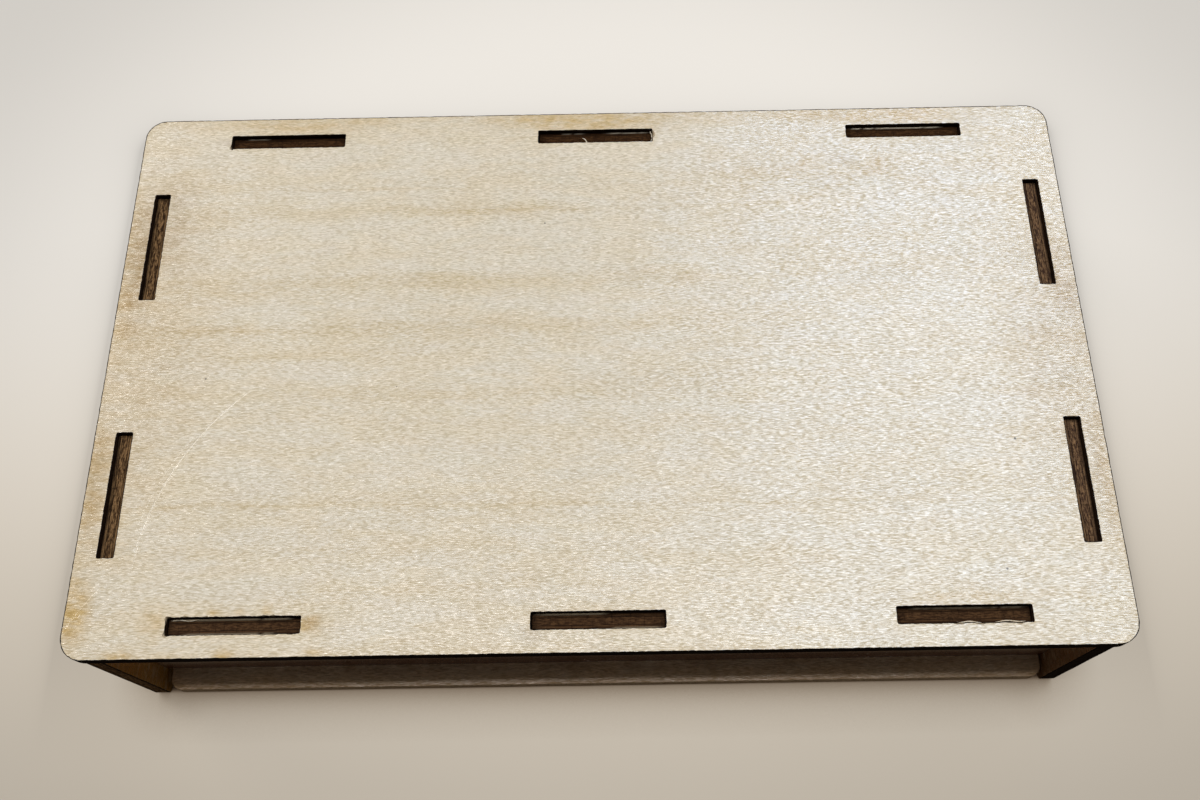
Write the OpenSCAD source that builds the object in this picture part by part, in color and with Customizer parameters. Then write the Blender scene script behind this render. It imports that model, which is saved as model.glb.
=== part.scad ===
// Hinged box of laser-cut plywood for papers and keepsakes.
// It lies as found, with its slotted panel up. Four walls hang from that panel by tabs
// in slots, and a flat panel closes the other side, turning on two steel pins at the back.
// Units are millimetres, +Z is up, -Y is the front, and the box stands on Z = 0.

/* [Box] */
// Length of the slotted panel, left to right
box_l = 200; // [180:1:260]
// Depth of the slotted panel, front to back
box_d = 118; // [106:1:170]
// Height of the whole box
box_h = 41.5; // [34:0.5:70]
// Thickness of the plywood
ply = 3; // [2.5:0.1:4]
// Distance from the panel's edge to the outer faces of the walls
overhang = 4.5; // [4:0.1:8]
// Radius of the rounded corners
corner_r = 4.5; // [3:0.5:6]
// Radius of the side walls' lower front corners
wall_front_r = 1.5; // [0.5:0.1:6]

/* [Tabs and slots] */
// Length of a slot in the slotted panel
slot_l = 25; // [15:0.5:28]
// Distance between the three slots along the front and the back
long_pitch = 68; // [50:0.5:70]
// Distance between the two slots along each side
short_pitch = 54.5; // [40:0.5:60]
// Length of the slot in a side wall that takes the end of the front or back wall
side_slot_l = 15; // [8:0.5:18]
// How far a tab's end stays below the face it comes out at
tab_drop = 1.1; // [0.2:0.1:1.8]
// Play between a tab and its slot, in all
fit_gap = 0.06; // [0:0.02:0.3]

/* [Hinged panel] */
// How far the shut panel lies in from the edges of the side walls
panel_inset = 1.5; // [1:0.1:3]
// Play between the hinged panel and the side walls, both sides together
panel_play = 1.5; // [0.6:0.1:3]
// Where the hinged panel sits in its play, from -1, all left, to 1, all right
panel_set = 0.45; // [-0.8:0.05:0.8]
// Radius of the hinged panel's front corners
front_corner_r = 2.5; // [0.5:0.1:6]
// Radius of the hinged panel's back corners
back_corner_r = 1.5; // [0.5:0.1:2]

/* [Hinge pins] */
// Diameter of a pin
pin_d = 1.5; // [1:0.1:1.6]
// Length of a pin under its head
pin_l = 12; // [9:0.5:16]
// Diameter of a pin's head
pin_head_d = 2.8; // [2:0.1:3.4]
// Thickness of a pin's head
pin_head_t = 0.6; // [0.4:0.1:1]
// Radial play of a pin in the side wall
pin_play = 0.05; // [0.02:0.01:0.1]
// Gap between the hinged panel and the back wall when the box is wide open
stop_gap = 0.05; // [0.02:0.01:0.2]

/* [Hidden] */
$fn = 64;

VENEER = [0.84, 0.79, 0.68];
WALL_VENEER = [0.72, 0.62, 0.44];
STEEL = [0.62, 0.62, 0.62];

// The levels, from the table up
panel_under = panel_inset;
wall_low = panel_under + ply;
wall_top = box_h - ply;
wall_h = wall_top - wall_low;
wall_mid = (wall_low + wall_top) / 2;

// The planes of the walls, as distances from the middle of the box
side_out = box_l / 2 - overhang;
side_in = side_out - ply;
end_out = box_d / 2 - overhang;
side_mid = side_out - ply / 2;
end_mid = end_out - ply / 2;

// Tabs, and where they stand along the long and the short walls
tab_l = slot_l - fit_gap;
tab_h = ply - tab_drop;
long_tabs = [-long_pitch, 0, long_pitch];
short_tabs = [-short_pitch / 2, short_pitch / 2];

// The hinge's axis: level with the middle of the hinged panel, and as far behind the
// back wall as that panel is thick from its middle, so that the panel lies flat on the
// wall's outer face when the box is open to a right angle
pivot_y = end_out + ply / 2 + stop_gap;
pivot_z = panel_under + ply / 2;
panel_w = 2 * side_in - panel_play;
panel_x = panel_set * panel_play / 2;
// Gap between a pin's head and the side wall, so that the head never rubs
head_gap = 0.2;
// How far a cut runs past the faces it cuts through
past = 0.5;

// A flat rectangle with its own radius at the front corners and at the back corners
module rounded_outline(size, front_r, back_r) {
    difference() {
        square(size, center = true);
        for (side = [-1, 1]) {
            corner_waste([side * size.x / 2, -size.y / 2], front_r, [side, -1]);
            corner_waste([side * size.x / 2, size.y / 2], back_r, [side, 1]);
        }
    }
}

// What the corner at a point loses when it is rounded: a square less a circle. The signs
// in way say which way the corner points along X and Y.
module corner_waste(point, r, way) {
    difference() {
        translate(point) square(2 * r, center = true);
        translate([point.x - way.x * r, point.y - way.y * r]) circle(r);
    }
}

// A sheet lying flat, cut from the ply
module sheet() {
    linear_extrude(ply) children();
}

module slotted_panel() {
    color(VENEER) translate([0, 0, wall_top]) sheet() difference() {
        rounded_outline([box_l, box_d], corner_r, corner_r);
        for (x = long_tabs, y = [-end_mid, end_mid])
            translate([x, y]) square([slot_l, ply + fit_gap], center = true);
        for (x = [-side_mid, side_mid], y = short_tabs)
            translate([x, y]) square([ply + fit_gap, slot_l], center = true);
    }
}

// The front or back wall, drawn flat with X along the box and Y up
module long_wall_outline() {
    translate([-side_in, wall_low]) square([2 * side_in, wall_h]);
    for (x = long_tabs)
        translate([x - tab_l / 2, wall_low]) square([tab_l, wall_h + tab_h]);
    end_l = side_slot_l - fit_gap;
    translate([-side_in - tab_h, wall_mid - end_l / 2])
        square([2 * (side_in + tab_h), end_l]);
}

module long_wall(y) {
    color(WALL_VENEER) translate([0, y + ply / 2, 0]) rotate([90, 0, 0])
        sheet() long_wall_outline();
}

module front_wall() { long_wall(-end_mid); }

module back_wall() { long_wall(end_mid); }

// A side wall, drawn flat with X towards the back of the box and Y up
module side_wall_outline() {
    difference() {
        translate([-box_d / 2, 0]) square([box_d, wall_top]);
        corner_waste([-box_d / 2, 0], wall_front_r, [-1, -1]);
        corner_waste([box_d / 2, 0], corner_r, [1, -1]);
    }
    for (y = short_tabs)
        translate([y - tab_l / 2, wall_mid]) square([tab_l, wall_top + tab_h - wall_mid]);
}

module side_wall(x) {
    color(WALL_VENEER) difference() {
        translate([x - ply / 2, 0, 0]) rotate([90, 0, 90]) sheet() side_wall_outline();
        for (y = [-end_mid, end_mid])
            translate([x, y, wall_mid])
                cube([ply + 2 * past, ply + fit_gap, side_slot_l], center = true);
        translate([x, pivot_y, pivot_z]) rotate([0, 90, 0])
            cylinder(h = ply + 2 * past, r = pin_d / 2 + pin_play, center = true);
    }
}

module left_wall() { side_wall(-side_mid); }

module right_wall() { side_wall(side_mid); }

// A pin's shank from its head's seat, pointing along +Z
module pin_shank() {
    cylinder(h = pin_l, d = pin_d);
}

// Puts a pin in its place on the left (side = -1) or the right (side = 1)
module at_pivot(side) {
    translate([side * (side_out + head_gap), pivot_y, pivot_z])
        rotate([0, -90 * side, 0]) children();
}

module hinged_panel() {
    color(VENEER) difference() {
        translate([panel_x, 0, panel_under]) sheet()
            rounded_outline([panel_w, box_d], front_corner_r, back_corner_r);
        for (side = [-1, 1]) at_pivot(side) pin_shank();
    }
}

module hinge_pin(side) {
    dome_r = (pow(pin_head_d / 2, 2) + pow(pin_head_t, 2)) / (2 * pin_head_t);
    color(STEEL) at_pivot(side) {
        pin_shank();
        intersection() {
            translate([0, 0, dome_r - pin_head_t]) sphere(dome_r);
            translate([0, 0, -pin_head_t]) cylinder(h = pin_head_t, d = pin_head_d);
        }
    }
}

module left_hinge_pin() { hinge_pin(-1); }

module right_hinge_pin() { hinge_pin(1); }

slotted_panel();
front_wall();
back_wall();
left_wall();
right_wall();
hinged_panel();
left_hinge_pin();
right_hinge_pin();
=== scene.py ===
"""A hinged box of laser-cut plywood for papers and keepsakes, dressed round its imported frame.

Six sheets of three-ply are drawn as a laser leaves them: each cut edge is a profile carried
round the sheet's outline, with rounded rims, a core that the beam has eaten a little deeper
than the face veneers, and a wander in the cut. Two steel pins are turned from their profiles.
Lengths in the classes are millimetres in the sheet's own plane; meshes are in metres.
"""

import logging
import math
from dataclasses import dataclass, field, replace
from enum import Enum

import bpy
import numpy as np
from mathutils import Matrix, Vector
from mathutils.geometry import delaunay_2d_cdt

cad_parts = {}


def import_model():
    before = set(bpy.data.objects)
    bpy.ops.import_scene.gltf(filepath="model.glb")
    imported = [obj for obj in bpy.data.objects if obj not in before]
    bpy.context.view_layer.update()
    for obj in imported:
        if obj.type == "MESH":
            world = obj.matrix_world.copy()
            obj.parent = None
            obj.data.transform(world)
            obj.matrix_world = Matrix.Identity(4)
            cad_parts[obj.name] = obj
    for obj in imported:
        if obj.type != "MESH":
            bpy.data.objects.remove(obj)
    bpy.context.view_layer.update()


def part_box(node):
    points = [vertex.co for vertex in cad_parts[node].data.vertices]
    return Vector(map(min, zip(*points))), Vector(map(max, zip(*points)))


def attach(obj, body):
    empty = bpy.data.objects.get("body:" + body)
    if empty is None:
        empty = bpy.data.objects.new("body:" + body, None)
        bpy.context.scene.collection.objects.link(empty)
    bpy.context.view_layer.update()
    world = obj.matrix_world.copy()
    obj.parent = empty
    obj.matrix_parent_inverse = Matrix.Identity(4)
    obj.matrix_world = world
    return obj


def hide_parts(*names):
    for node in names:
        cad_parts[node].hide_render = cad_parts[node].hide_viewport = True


LOG = logging.getLogger("plywood_box")
MM = 0.001

# Two places nearer than this are one place
SAME_PLACE = 1e-6
# A step longer than any side, so that a straight stretch isn't divided
LONG_STEP = 500.0
# How many places are measured against a line at once
BATCH = 400
# How far apart in the wood, along its three axes, two sheets are whose seeds are neighbours
WOOD_APART = (31.7, 17.3, 9.1)

Colour = tuple[float, float, float]
Corner = tuple[float, float, float]
Socket = bpy.types.NodeSocket


def srgb(red: float, green: float, blue: float) -> Colour:
    """Turns a colour as seen on a screen, 0 to 255, into the linear one that shaders take."""
    shares = (red / 255, green / 255, blue / 255)
    return tuple(c / 12.92 if c <= 0.04045 else ((c + 0.055) / 1.055) ** 2.4 for c in shares)


class Stance(Enum):
    """Which axes of the box a sheet's own u, v and w run along. The face grain runs along u."""

    FLAT = (0, 1, 2)
    ACROSS = (0, 2, 1)
    ENDWAYS = (1, 2, 0)

    @property
    def turns_over(self) -> bool:
        """True where u, v and w make a left-handed set, so that faces have to be flipped."""
        return self is Stance.ACROSS


class Body(Enum):
    """The two bodies that the hinge joins."""

    HINGED = "hinged_side"
    WALLED = "walled_side"


class Slot(Enum):
    """The finishes that the record names."""

    PANEL = "panel_veneer"
    WALL = "wall_veneer"
    STEEL = "pin_steel"


class Mark(Enum):
    """The values that a sheet's mesh holds at its vertices, for its materials to read."""

    RIM = "rim"
    RAW = "raw"
    # Char, with painted shade on the front edges, which face away from the lamps
    SOOT = "soot"
    SINGE = "singe"
    TOAST = "toast"
    # Soot, and painted shade along the foot of the front wall on the hinged panel
    GRIME = "grime"
    # Painted shade: darkens the front wall's outer face under the panel's overhang
    SMOKE = "smoke"


# Surfaces worked out as whole arrays


def ripple(points: np.ndarray, wavelength: float, seed: int, waves: int = 9, gain: float = 2.2) -> np.ndarray:
    """A smooth random field in -1 to 1: the mean of sine waves in random directions, made larger.

    Args:
        points: Places, one row each, in any number of axes.
        wavelength: The middle length of a wave. They run from 0.6 to 1.6 times this.
        seed: Picks the directions and phases.
        waves: How many waves are added.
        gain: What the mean is multiplied by, so that it fills its range.

    Returns:
        One value per place.
    """
    rng = np.random.default_rng(seed)
    ways = rng.normal(size=(waves, points.shape[-1]))
    ways /= np.linalg.norm(ways, axis=1, keepdims=True)
    turns = 2 * np.pi / (wavelength * rng.uniform(0.6, 1.6, (waves, 1)))
    phases = rng.uniform(0, 2 * np.pi, waves)
    return np.clip(np.sin(points @ (ways * turns).T + phases).mean(-1) * gain, -1, 1)


def eased(value: np.ndarray, low: float, high: float) -> np.ndarray:
    """Rises smoothly from 0 at low to 1 at high."""
    t = np.clip((value - low) / (high - low), 0, 1)
    return t * t * (3 - 2 * t)


def put_mesh(name: str, points: np.ndarray, faces: list[np.ndarray], smooth: list[bool],
             marks: dict[Mark, np.ndarray] | None = None) -> bpy.types.Object:
    """Makes a mesh object at the origin from arrays.

    Args:
        name: The piece's name.
        points: Its vertices in millimetres, one row each.
        faces: Arrays of faces, each array with one face's vertex numbers a row.
        smooth: For each of those arrays, whether its faces are shaded smooth.
        marks: Values at the vertices, for the materials to read.

    Returns:
        The new object, linked to the scene.
    """
    mesh = bpy.data.meshes.new(name)
    mesh.from_pydata((points * MM).tolist(), [], [f for rows in faces for f in rows.tolist()])
    mesh.polygons.foreach_set("use_smooth", np.repeat(smooth, [len(rows) for rows in faces]))
    for mark, values in (marks or {}).items():
        layer = mesh.attributes.new(mark.value, "FLOAT", "POINT")
        layer.data.foreach_set("value", values.astype(np.float32))
    mesh.update()
    piece = bpy.data.objects.new(name, mesh)
    bpy.context.scene.collection.objects.link(piece)
    return piece


def tube_quads(stations: int, sides: int) -> np.ndarray:
    """The four-sided faces of a tube whose places are numbered ring by ring.

    Args:
        stations: How many rings it has.
        sides: How many places a ring has.

    Returns:
        One face's four numbers a row: a place, the next on its ring, and the two above them.
    """
    i, j = np.meshgrid(np.arange(stations - 1), np.arange(sides), indexing="ij")
    here, beside = i * sides + j, i * sides + (j + 1) % sides
    return np.stack([here, beside, beside + sides, here + sides], 2).reshape(-1, 4)


@dataclass(frozen=True)
class Outline:
    """A closed line in a sheet's plane, through its corners in turn, each with its own round.

    The wood lies to the left of the line, so a sheet's edge runs anticlockwise and a hole's
    runs clockwise. An arc has at least arc_least steps, closer by arc_closer than straight ones.
    """

    corners: tuple[Corner, ...]
    step: float = 0.9
    arc_least: int = 4
    arc_closer: float = 1.6

    @staticmethod
    def rectangle(low: np.ndarray, high: np.ndarray, front: float, back: float) -> "Outline":
        """A sheet's edge between two corners, with its own rounds at the front and the back."""
        (a, b), (c, d) = low[:2], high[:2]
        return Outline(((a, b, front), (c, b, front), (c, d, back), (a, d, back)))

    @staticmethod
    def slot(u: float, v: float, long: float, high: float, step: float = 0.45,
             burnt: float = 0.15) -> "Outline":
        """A rectangular hole round (u, v), its corners rounded a little by the beam."""
        a, b = long / 2, high / 2
        return Outline(((u - a, v - b, burnt), (u - a, v + b, burnt),
                        (u + a, v + b, burnt), (u + a, v - b, burnt)), step)

    @staticmethod
    def bore(u: float, v: float, radius: float, step: float = 0.3) -> "Outline":
        """A round hole: a square whose corners are rounded right away."""
        return Outline.slot(u, v, 2 * radius, 2 * radius, step, radius)

    def points(self, step: float | None = None) -> np.ndarray:
        """Walks the line: an arc at each corner, then even steps to where the next one starts.

        An arc touches both of its sides at radius / tan(half the corner's angle) from the
        corner, and its centre is on the line that halves the angle.

        Args:
            step: The distance between places, where it isn't the outline's own.

        Returns:
            Places along the line, one row each, with no place twice.
        """
        step = step or self.step
        places, radii = np.array(self.corners)[:, :2], np.array(self.corners)[:, 2]
        to_last = np.roll(places, 1, 0) - places
        to_next = np.roll(places, -1, 0) - places
        to_last /= np.linalg.norm(to_last, axis=1, keepdims=True)
        to_next /= np.linalg.norm(to_next, axis=1, keepdims=True)
        half = np.arccos(np.clip((to_last * to_next).sum(1), -1, 1)) / 2
        reach = (radii / np.tan(half))[:, None]
        middle = to_last + to_next
        middle /= np.linalg.norm(middle, axis=1, keepdims=True)
        centres = places + middle * (radii / np.sin(half))[:, None]
        starts, ends = places + to_last * reach, places + to_next * reach
        walked = []
        for i, centre in enumerate(centres):
            a, b = starts[i] - centre, ends[i] - centre
            sweep = math.atan2(a[0] * b[1] - a[1] * b[0], a @ b)
            count = max(self.arc_least, math.ceil(abs(sweep) * radii[i] / step * self.arc_closer))
            angles = math.atan2(a[1], a[0]) + np.linspace(0, sweep, count + 1)
            walked.append(centre + radii[i] * np.stack([np.cos(angles), np.sin(angles)], 1))
            onward = starts[(i + 1) % len(starts)] - ends[i]
            pieces = max(1, round(np.linalg.norm(onward) / step))
            walked.append(ends[i] + onward * (np.arange(1, pieces) / pieces)[:, None])
        line = np.concatenate(walked)
        apart = np.linalg.norm(line - np.roll(line, 1, 0), axis=1)
        return line[apart > SAME_PLACE]


def inward(line: np.ndarray) -> np.ndarray:
    """Finds the ways into the wood beside a closed line: to the left of the way it runs.

    Args:
        line: Places along the line, one row each.

    Returns:
        One unit way per place.
    """
    along = np.roll(line, -1, 0) - np.roll(line, 1, 0)
    left = np.stack([-along[:, 1], along[:, 0]], 1)
    return left / np.linalg.norm(left, axis=1, keepdims=True)


def batches(places: np.ndarray) -> list[np.ndarray]:
    """Places in short runs, so that measuring them doesn't fill the memory."""
    return np.array_split(places, max(1, len(places) // BATCH))


def distance(places: np.ndarray, lines: list[np.ndarray]) -> np.ndarray:
    """Measures to the nearest stretch of some closed lines.

    On each stretch the nearest place is start + share * span, with the share held in 0 to 1.

    Args:
        places: What is measured from, one row each.
        lines: The closed lines.

    Returns:
        One distance per place.
    """
    starts = np.concatenate(lines)
    spans = np.concatenate([np.roll(line, -1, 0) - line for line in lines])
    lengths = (spans ** 2).sum(1)
    nearest = []
    for some in batches(places):
        away = some[:, None] - starts
        share = np.clip((away * spans).sum(2) / lengths, 0, 1)
        nearest.append(np.sqrt(((away - share[..., None] * spans) ** 2).sum(2).min(1)))
    return np.concatenate(nearest)


def inside(places: np.ndarray, line: np.ndarray, tiny: float = 1e-12) -> np.ndarray:
    """Finds the places within a closed line: a ray from such a place crosses it an odd number of times.

    Args:
        places: What is looked at, one row each.
        line: The closed line.
        tiny: Stands for the rise of a level stretch, which no ray crosses.

    Returns:
        True or False per place.
    """
    a, b = line, np.roll(line, -1, 0)
    rise = np.where(b[:, 1] == a[:, 1], tiny, b[:, 1] - a[:, 1])
    found = []
    for some in batches(places):
        u, v = some[:, :1], some[:, 1:]
        straddles = (a[:, 1] > v) != (b[:, 1] > v)
        crossing = a[:, 0] + (v - a[:, 1]) / rise * (b[:, 0] - a[:, 0])
        found.append(((u < crossing) & straddles).sum(1) % 2 == 1)
    return np.concatenate(found)


def in_wood(places: np.ndarray, rims: list[np.ndarray]) -> np.ndarray:
    """Whether each place is within the first of some closed lines and in none of the others."""
    within = np.array([inside(places, rim) for rim in rims])
    return within[0] & (within.sum(0) == 1)


@dataclass(frozen=True)
class Joints:
    """The sizes that the sheets' tabs and slots are worked out from."""

    ply: float = 3.0
    gap: float = 0.06
    overhang: float = 4.5
    panel_inset: float = 1.5
    tab_drop: float = 1.1
    slot_long: float = 25.0
    end_slot_long: float = 15.0
    long_pitch: float = 68.0
    short_pitch: float = 54.5

    @property
    def slot_wide(self) -> float:
        """A slot takes the plywood's thickness with a little play."""
        return self.ply + self.gap

    @property
    def tab_out(self) -> float:
        """How far a tab stands out of its edge: it ends below the face it comes out at."""
        return self.ply - self.tab_drop

    @property
    def set_in(self) -> float:
        """From the panel's edge to the middle of a wall."""
        return self.overhang + self.ply / 2

    @property
    def long_places(self) -> tuple[float, ...]:
        """Where the tabs stand along the front and the back."""
        return (-self.long_pitch, 0.0, self.long_pitch)

    @property
    def short_places(self) -> tuple[float, ...]:
        """Where the tabs stand along the sides."""
        return (-self.short_pitch / 2, self.short_pitch / 2)


@dataclass(frozen=True)
class Stain:
    """An oval patch that is toasted by the laser, grey, or darkened by painted shade.

    It is strongest in its middle. Toast and grey break up with the grain, and painted shade doesn't.
    The grey is soot on the slotted panel, and painted shade on the hinged panel along the front wall's foot.
    """

    u: float
    v: float
    half_u: float
    half_v: float
    strength: float
    high_face: bool = True
    mark: Mark = Mark.TOAST

    def at(self, places: np.ndarray) -> np.ndarray:
        """Its strength at places: strength * exp(-d^3), with d the distance in half sizes."""
        far = ((places - (self.u, self.v)) / (self.half_u, self.half_v)) ** 2
        return self.strength * np.exp(-far.sum(1) ** 1.5)


@dataclass(frozen=True)
class Chip:
    """A bite that broke out of the face veneer beside a cut, and left pale raw wood."""

    u: float
    v: float
    size: float
    bite: float
    deep: float = 0.6
    steep: float = 1.5

    def at(self, places: np.ndarray, depth: np.ndarray) -> np.ndarray:
        """How far it sets the cut back: bite * exp(-steep * d^2), and less with the depth."""
        near = np.exp(-(((places - (self.u, self.v)) / self.size) ** 2).sum(-1) * self.steep)
        return self.bite * near * (1 - eased(depth, 0.2 * self.deep, self.deep))


@dataclass(frozen=True)
class Fibre:
    """A stretch of a tab's rim where pale fibre shows: on the sheet's high side or its low one."""

    start: float
    end: float
    strength: float
    high_side: bool
    fade: float = 1.5
    full_to: float = 0.14
    gone_by: float = 0.4
    long_wave: float = 2.3
    short_wave: float = 0.9
    short_share: float = 0.6
    broken_below: float = -1.2
    whole_above: float = -0.3

    def at(self, places: np.ndarray, thick: float, seed: int) -> np.ndarray:
        """How pale each place is: a line at the rim, broken by ripples along the tab.

        Args:
            places: Places on the sheet's cuts, in its own axes.
            thick: The sheet's thickness.
            seed: Picks the ripples.

        Returns:
            One value per place, 0 where there is no fibre.
        """
        u, w = places[:, 0], places[:, 2]
        to_rim = thick - w if self.high_side else w
        begun = eased(u, self.start, self.start + self.fade)
        within = begun * (1 - eased(u, self.end - self.fade, self.end))
        long_ripple = ripple(places[:, :1], self.long_wave, seed + 40)
        short_ripple = ripple(places, self.short_wave, seed + 41)
        shown = eased(long_ripple + self.short_share * short_ripple, self.broken_below, self.whole_above)
        at_rim = 1 - eased(to_rim, self.full_to, self.gone_by)
        return self.strength * within * shown * at_rim


@dataclass(frozen=True)
class CutProfile:
    """The shape of a cut edge through the sheet's thickness.

    The three waves are the lengths of the ripples in the core's setting back, in the wander of
    the whole edge and in the fray of the rim.
    """

    thick: float
    rim: float = 0.07
    face_ply: float = 0.75
    glue_half: float = 0.05
    core_set: float = 0.035
    wander: float = 0.03
    fray: float = 0.10
    fray_full: float = 0.1
    fray_depth: float = 0.7
    core_wave: float = 2.1
    wander_wave: float = 9.0
    fray_wave: float = 1.3

    def depths(self) -> np.ndarray:
        """Places through the thickness: close together at the rims and the glue lines.

        Returns:
            Depths from the low face to the high one.
        """
        r, glue, half = self.rim, self.face_ply, self.glue_half
        upper = [0, 0.08 * r, 0.3 * r, r, 0.22, 0.45, glue - half, glue + half, glue + 0.25]
        return np.array(upper + [self.thick / 2] + [self.thick - d for d in reversed(upper)])

    def set_back(self, line: np.ndarray, seed: int, fray_high: bool) -> np.ndarray:
        """How far the edge is set back into the wood: a grid over the line and the thickness.

        At a rim it follows a quarter circle. The core ply is set back by core_set times a
        ripple, the whole edge wanders by a long ripple, and the rim of the face frays by a
        short one that dies away with depth.

        Args:
            line: Places along the cut.
            seed: Picks the ripples.
            fray_high: Whether the frayed rim is the sheet's high face.

        Returns:
            One row per place on the line, one column per depth, in millimetres.
        """
        w = self.depths()
        to_face = np.minimum(w, self.thick - w)
        to_rim = 1 - np.clip(to_face / self.rim, 0, 1)
        round_rim = self.rim * (1 - np.sqrt(np.clip(1 - to_rim ** 2, 0, 1)))
        core = eased(to_face, self.face_ply - self.glue_half, self.face_ply + self.glue_half)
        eaten = 0.6 + 0.4 * ripple(line, self.core_wave, seed + 1)
        wandered = self.wander * (0.5 + 0.5 * ripple(line, self.wander_wave, seed + 2))
        torn = 0.5 + 0.5 * ripple(line, self.fray_wave, seed + 3)
        from_frayed = self.thick - w if fray_high else w
        frayed = self.fray * (1 - eased(from_frayed, self.fray_full, self.fray_depth))
        return (round_rim + self.core_set * core * eaten[:, None] + wandered[:, None]
                + frayed * (torn ** 2)[:, None])


@dataclass
class PlySheet:
    """A laser-cut sheet of three-ply that stands for one node of the frame.

    The sheet's own axes are u and v in its plane and w through its thickness. They run along
    the box's axes as its stance says.
    """

    node: str
    body: Body
    slot: Slot
    stance: Stance
    seed: int
    finish: "PlyFinish"
    joints: Joints = Joints()
    fray_high: bool = True
    stains: tuple[Stain, ...] = ()
    chips: tuple[Chip, ...] = ()
    smoke_high: float = 0.25
    smoke_low: float = 0.7
    smoke_reach: float = 0.9
    grid: float = 2.4
    grid_clear: float = 2.3
    grid_sway: float = 0.3
    grid_wave: float = 7.0
    rows: tuple[float, ...] = (0.3, 0.8, 1.6)
    row_share: float = 0.93
    slack: float = 0.02
    decimals: int = 5
    rim_far: float = 8.0
    raw_from: float = 0.08
    raw_full: float = 0.3
    low: np.ndarray = field(init=False)
    high: np.ndarray = field(init=False)

    def __post_init__(self) -> None:
        """Reads the node's box from the frame, in the sheet's own axes and in millimetres."""
        order = list(self.stance.value)
        low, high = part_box(self.node)
        self.low, self.high = np.array(low)[order] / MM, np.array(high)[order] / MM

    @property
    def thick(self) -> float:
        """The sheet's thickness."""
        return float(self.high[2] - self.low[2])

    def outline(self) -> Outline:
        """The sheet's outer edge. Each kind of sheet has its own."""
        raise NotImplementedError

    def holes(self) -> list[Outline]:
        """The holes through the sheet."""
        return []

    def profile(self) -> CutProfile:
        """The shape of its cut edges."""
        return CutProfile(self.thick)

    def raw(self, places: np.ndarray) -> np.ndarray:
        """How far each place of a cut shows raw wood and not char: none, unless a sheet says so."""
        return np.zeros(len(places))

    def soot(self, places: np.ndarray) -> np.ndarray:
        """How much blacker a cut is made, as char and painted shade: not at all, unless a sheet says so."""
        return np.zeros(len(places))

    def singe(self, places: np.ndarray) -> np.ndarray:
        """Where the char reaches further in over the faces: nowhere, unless a sheet says so."""
        return np.zeros(len(places))

    def cut_lines(self, step: float | None = None) -> list[np.ndarray]:
        """The nominal lines of all the cuts, the outer one first."""
        return [shape.points(step) for shape in [self.outline(), *self.holes()]]

    def to_cuts(self, places: np.ndarray) -> np.ndarray:
        """How far places in the sheet's plane are from the nearest cut."""
        return distance(places, self.cut_lines(LONG_STEP))

    def fill(self, rims: list[np.ndarray], edges: list[np.ndarray]) -> np.ndarray:
        """Places for the inside of a face: rows beside each cut, and a loose grid further in.

        A place is left out where it is too near to a cut: in a row, nearer than row_share of
        the row's own distance, and in the grid, nearer than grid_clear.

        Args:
            rims: The closed lines that bound the face, the outer one first.
            edges: The nominal lines of the cuts.

        Returns:
            The places, one row each, with no place twice.
        """
        rows = [line + inward(line) * away for line in edges for away in self.rows]
        least = [np.full(len(line), self.row_share * away) for line in edges for away in self.rows]
        u, v = np.meshgrid(np.arange(self.low[0] + 1, self.high[0], self.grid),
                           np.arange(self.low[1] + 1, self.high[1], self.grid))
        lattice = np.stack([u.ravel(), v.ravel()], 1)
        sway = np.stack([ripple(lattice, self.grid_wave, seed) for seed in (5, 6)], 1)
        lattice = lattice + self.grid_sway * sway
        added = np.concatenate([*rows, lattice])
        least = np.concatenate([*least, np.full(len(lattice), self.grid_clear)])
        added = added[(self.to_cuts(added) > least - self.slack) & in_wood(added, rims)]
        firsts = np.unique(added.round(self.decimals), axis=0, return_index=True)[1]
        return added[np.sort(firsts)]

    def face(self, rims: list[np.ndarray], edges: list[np.ndarray]) -> tuple[np.ndarray, np.ndarray]:
        """Fills the flat face between its rims with triangles.

        Args:
            rims: The closed lines that bound the face, the outer one first.
            edges: The nominal lines of the cuts.

        Returns:
            The added places and the triangles, which number the rims' places first.
        """
        added = self.fill(rims, edges)
        starts = np.cumsum([0] + [len(rim) for rim in rims])
        bounds = [np.stack([np.arange(len(rim)), np.roll(np.arange(len(rim)), -1)], 1) + start
                  for rim, start in zip(rims, starts)]
        everything = np.concatenate(rims + [added])
        found, _, triangles, origins, _, _ = delaunay_2d_cdt(
            everything.tolist(), np.concatenate(bounds).tolist(), [], 1, SAME_PLACE / 10)
        if len(found) != len(everything):
            LOG.warning("%s: the face has %d places and not %d", self.node, len(found), len(everything))
        numbers = np.array([origin[0] for origin in origins])
        triangles = numbers[np.array(triangles)]
        return added, triangles[in_wood(everything[triangles].mean(1), rims)]

    def bitten(self, line: np.ndarray, depths: np.ndarray) -> np.ndarray:
        """How far the chips set a cut back: a grid over the places of a line and the depths."""
        under = (self.thick - depths)[None, :]
        return sum((chip.at(line[:, None, :], under) for chip in self.chips),
                   np.zeros((len(line), len(depths))))

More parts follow.
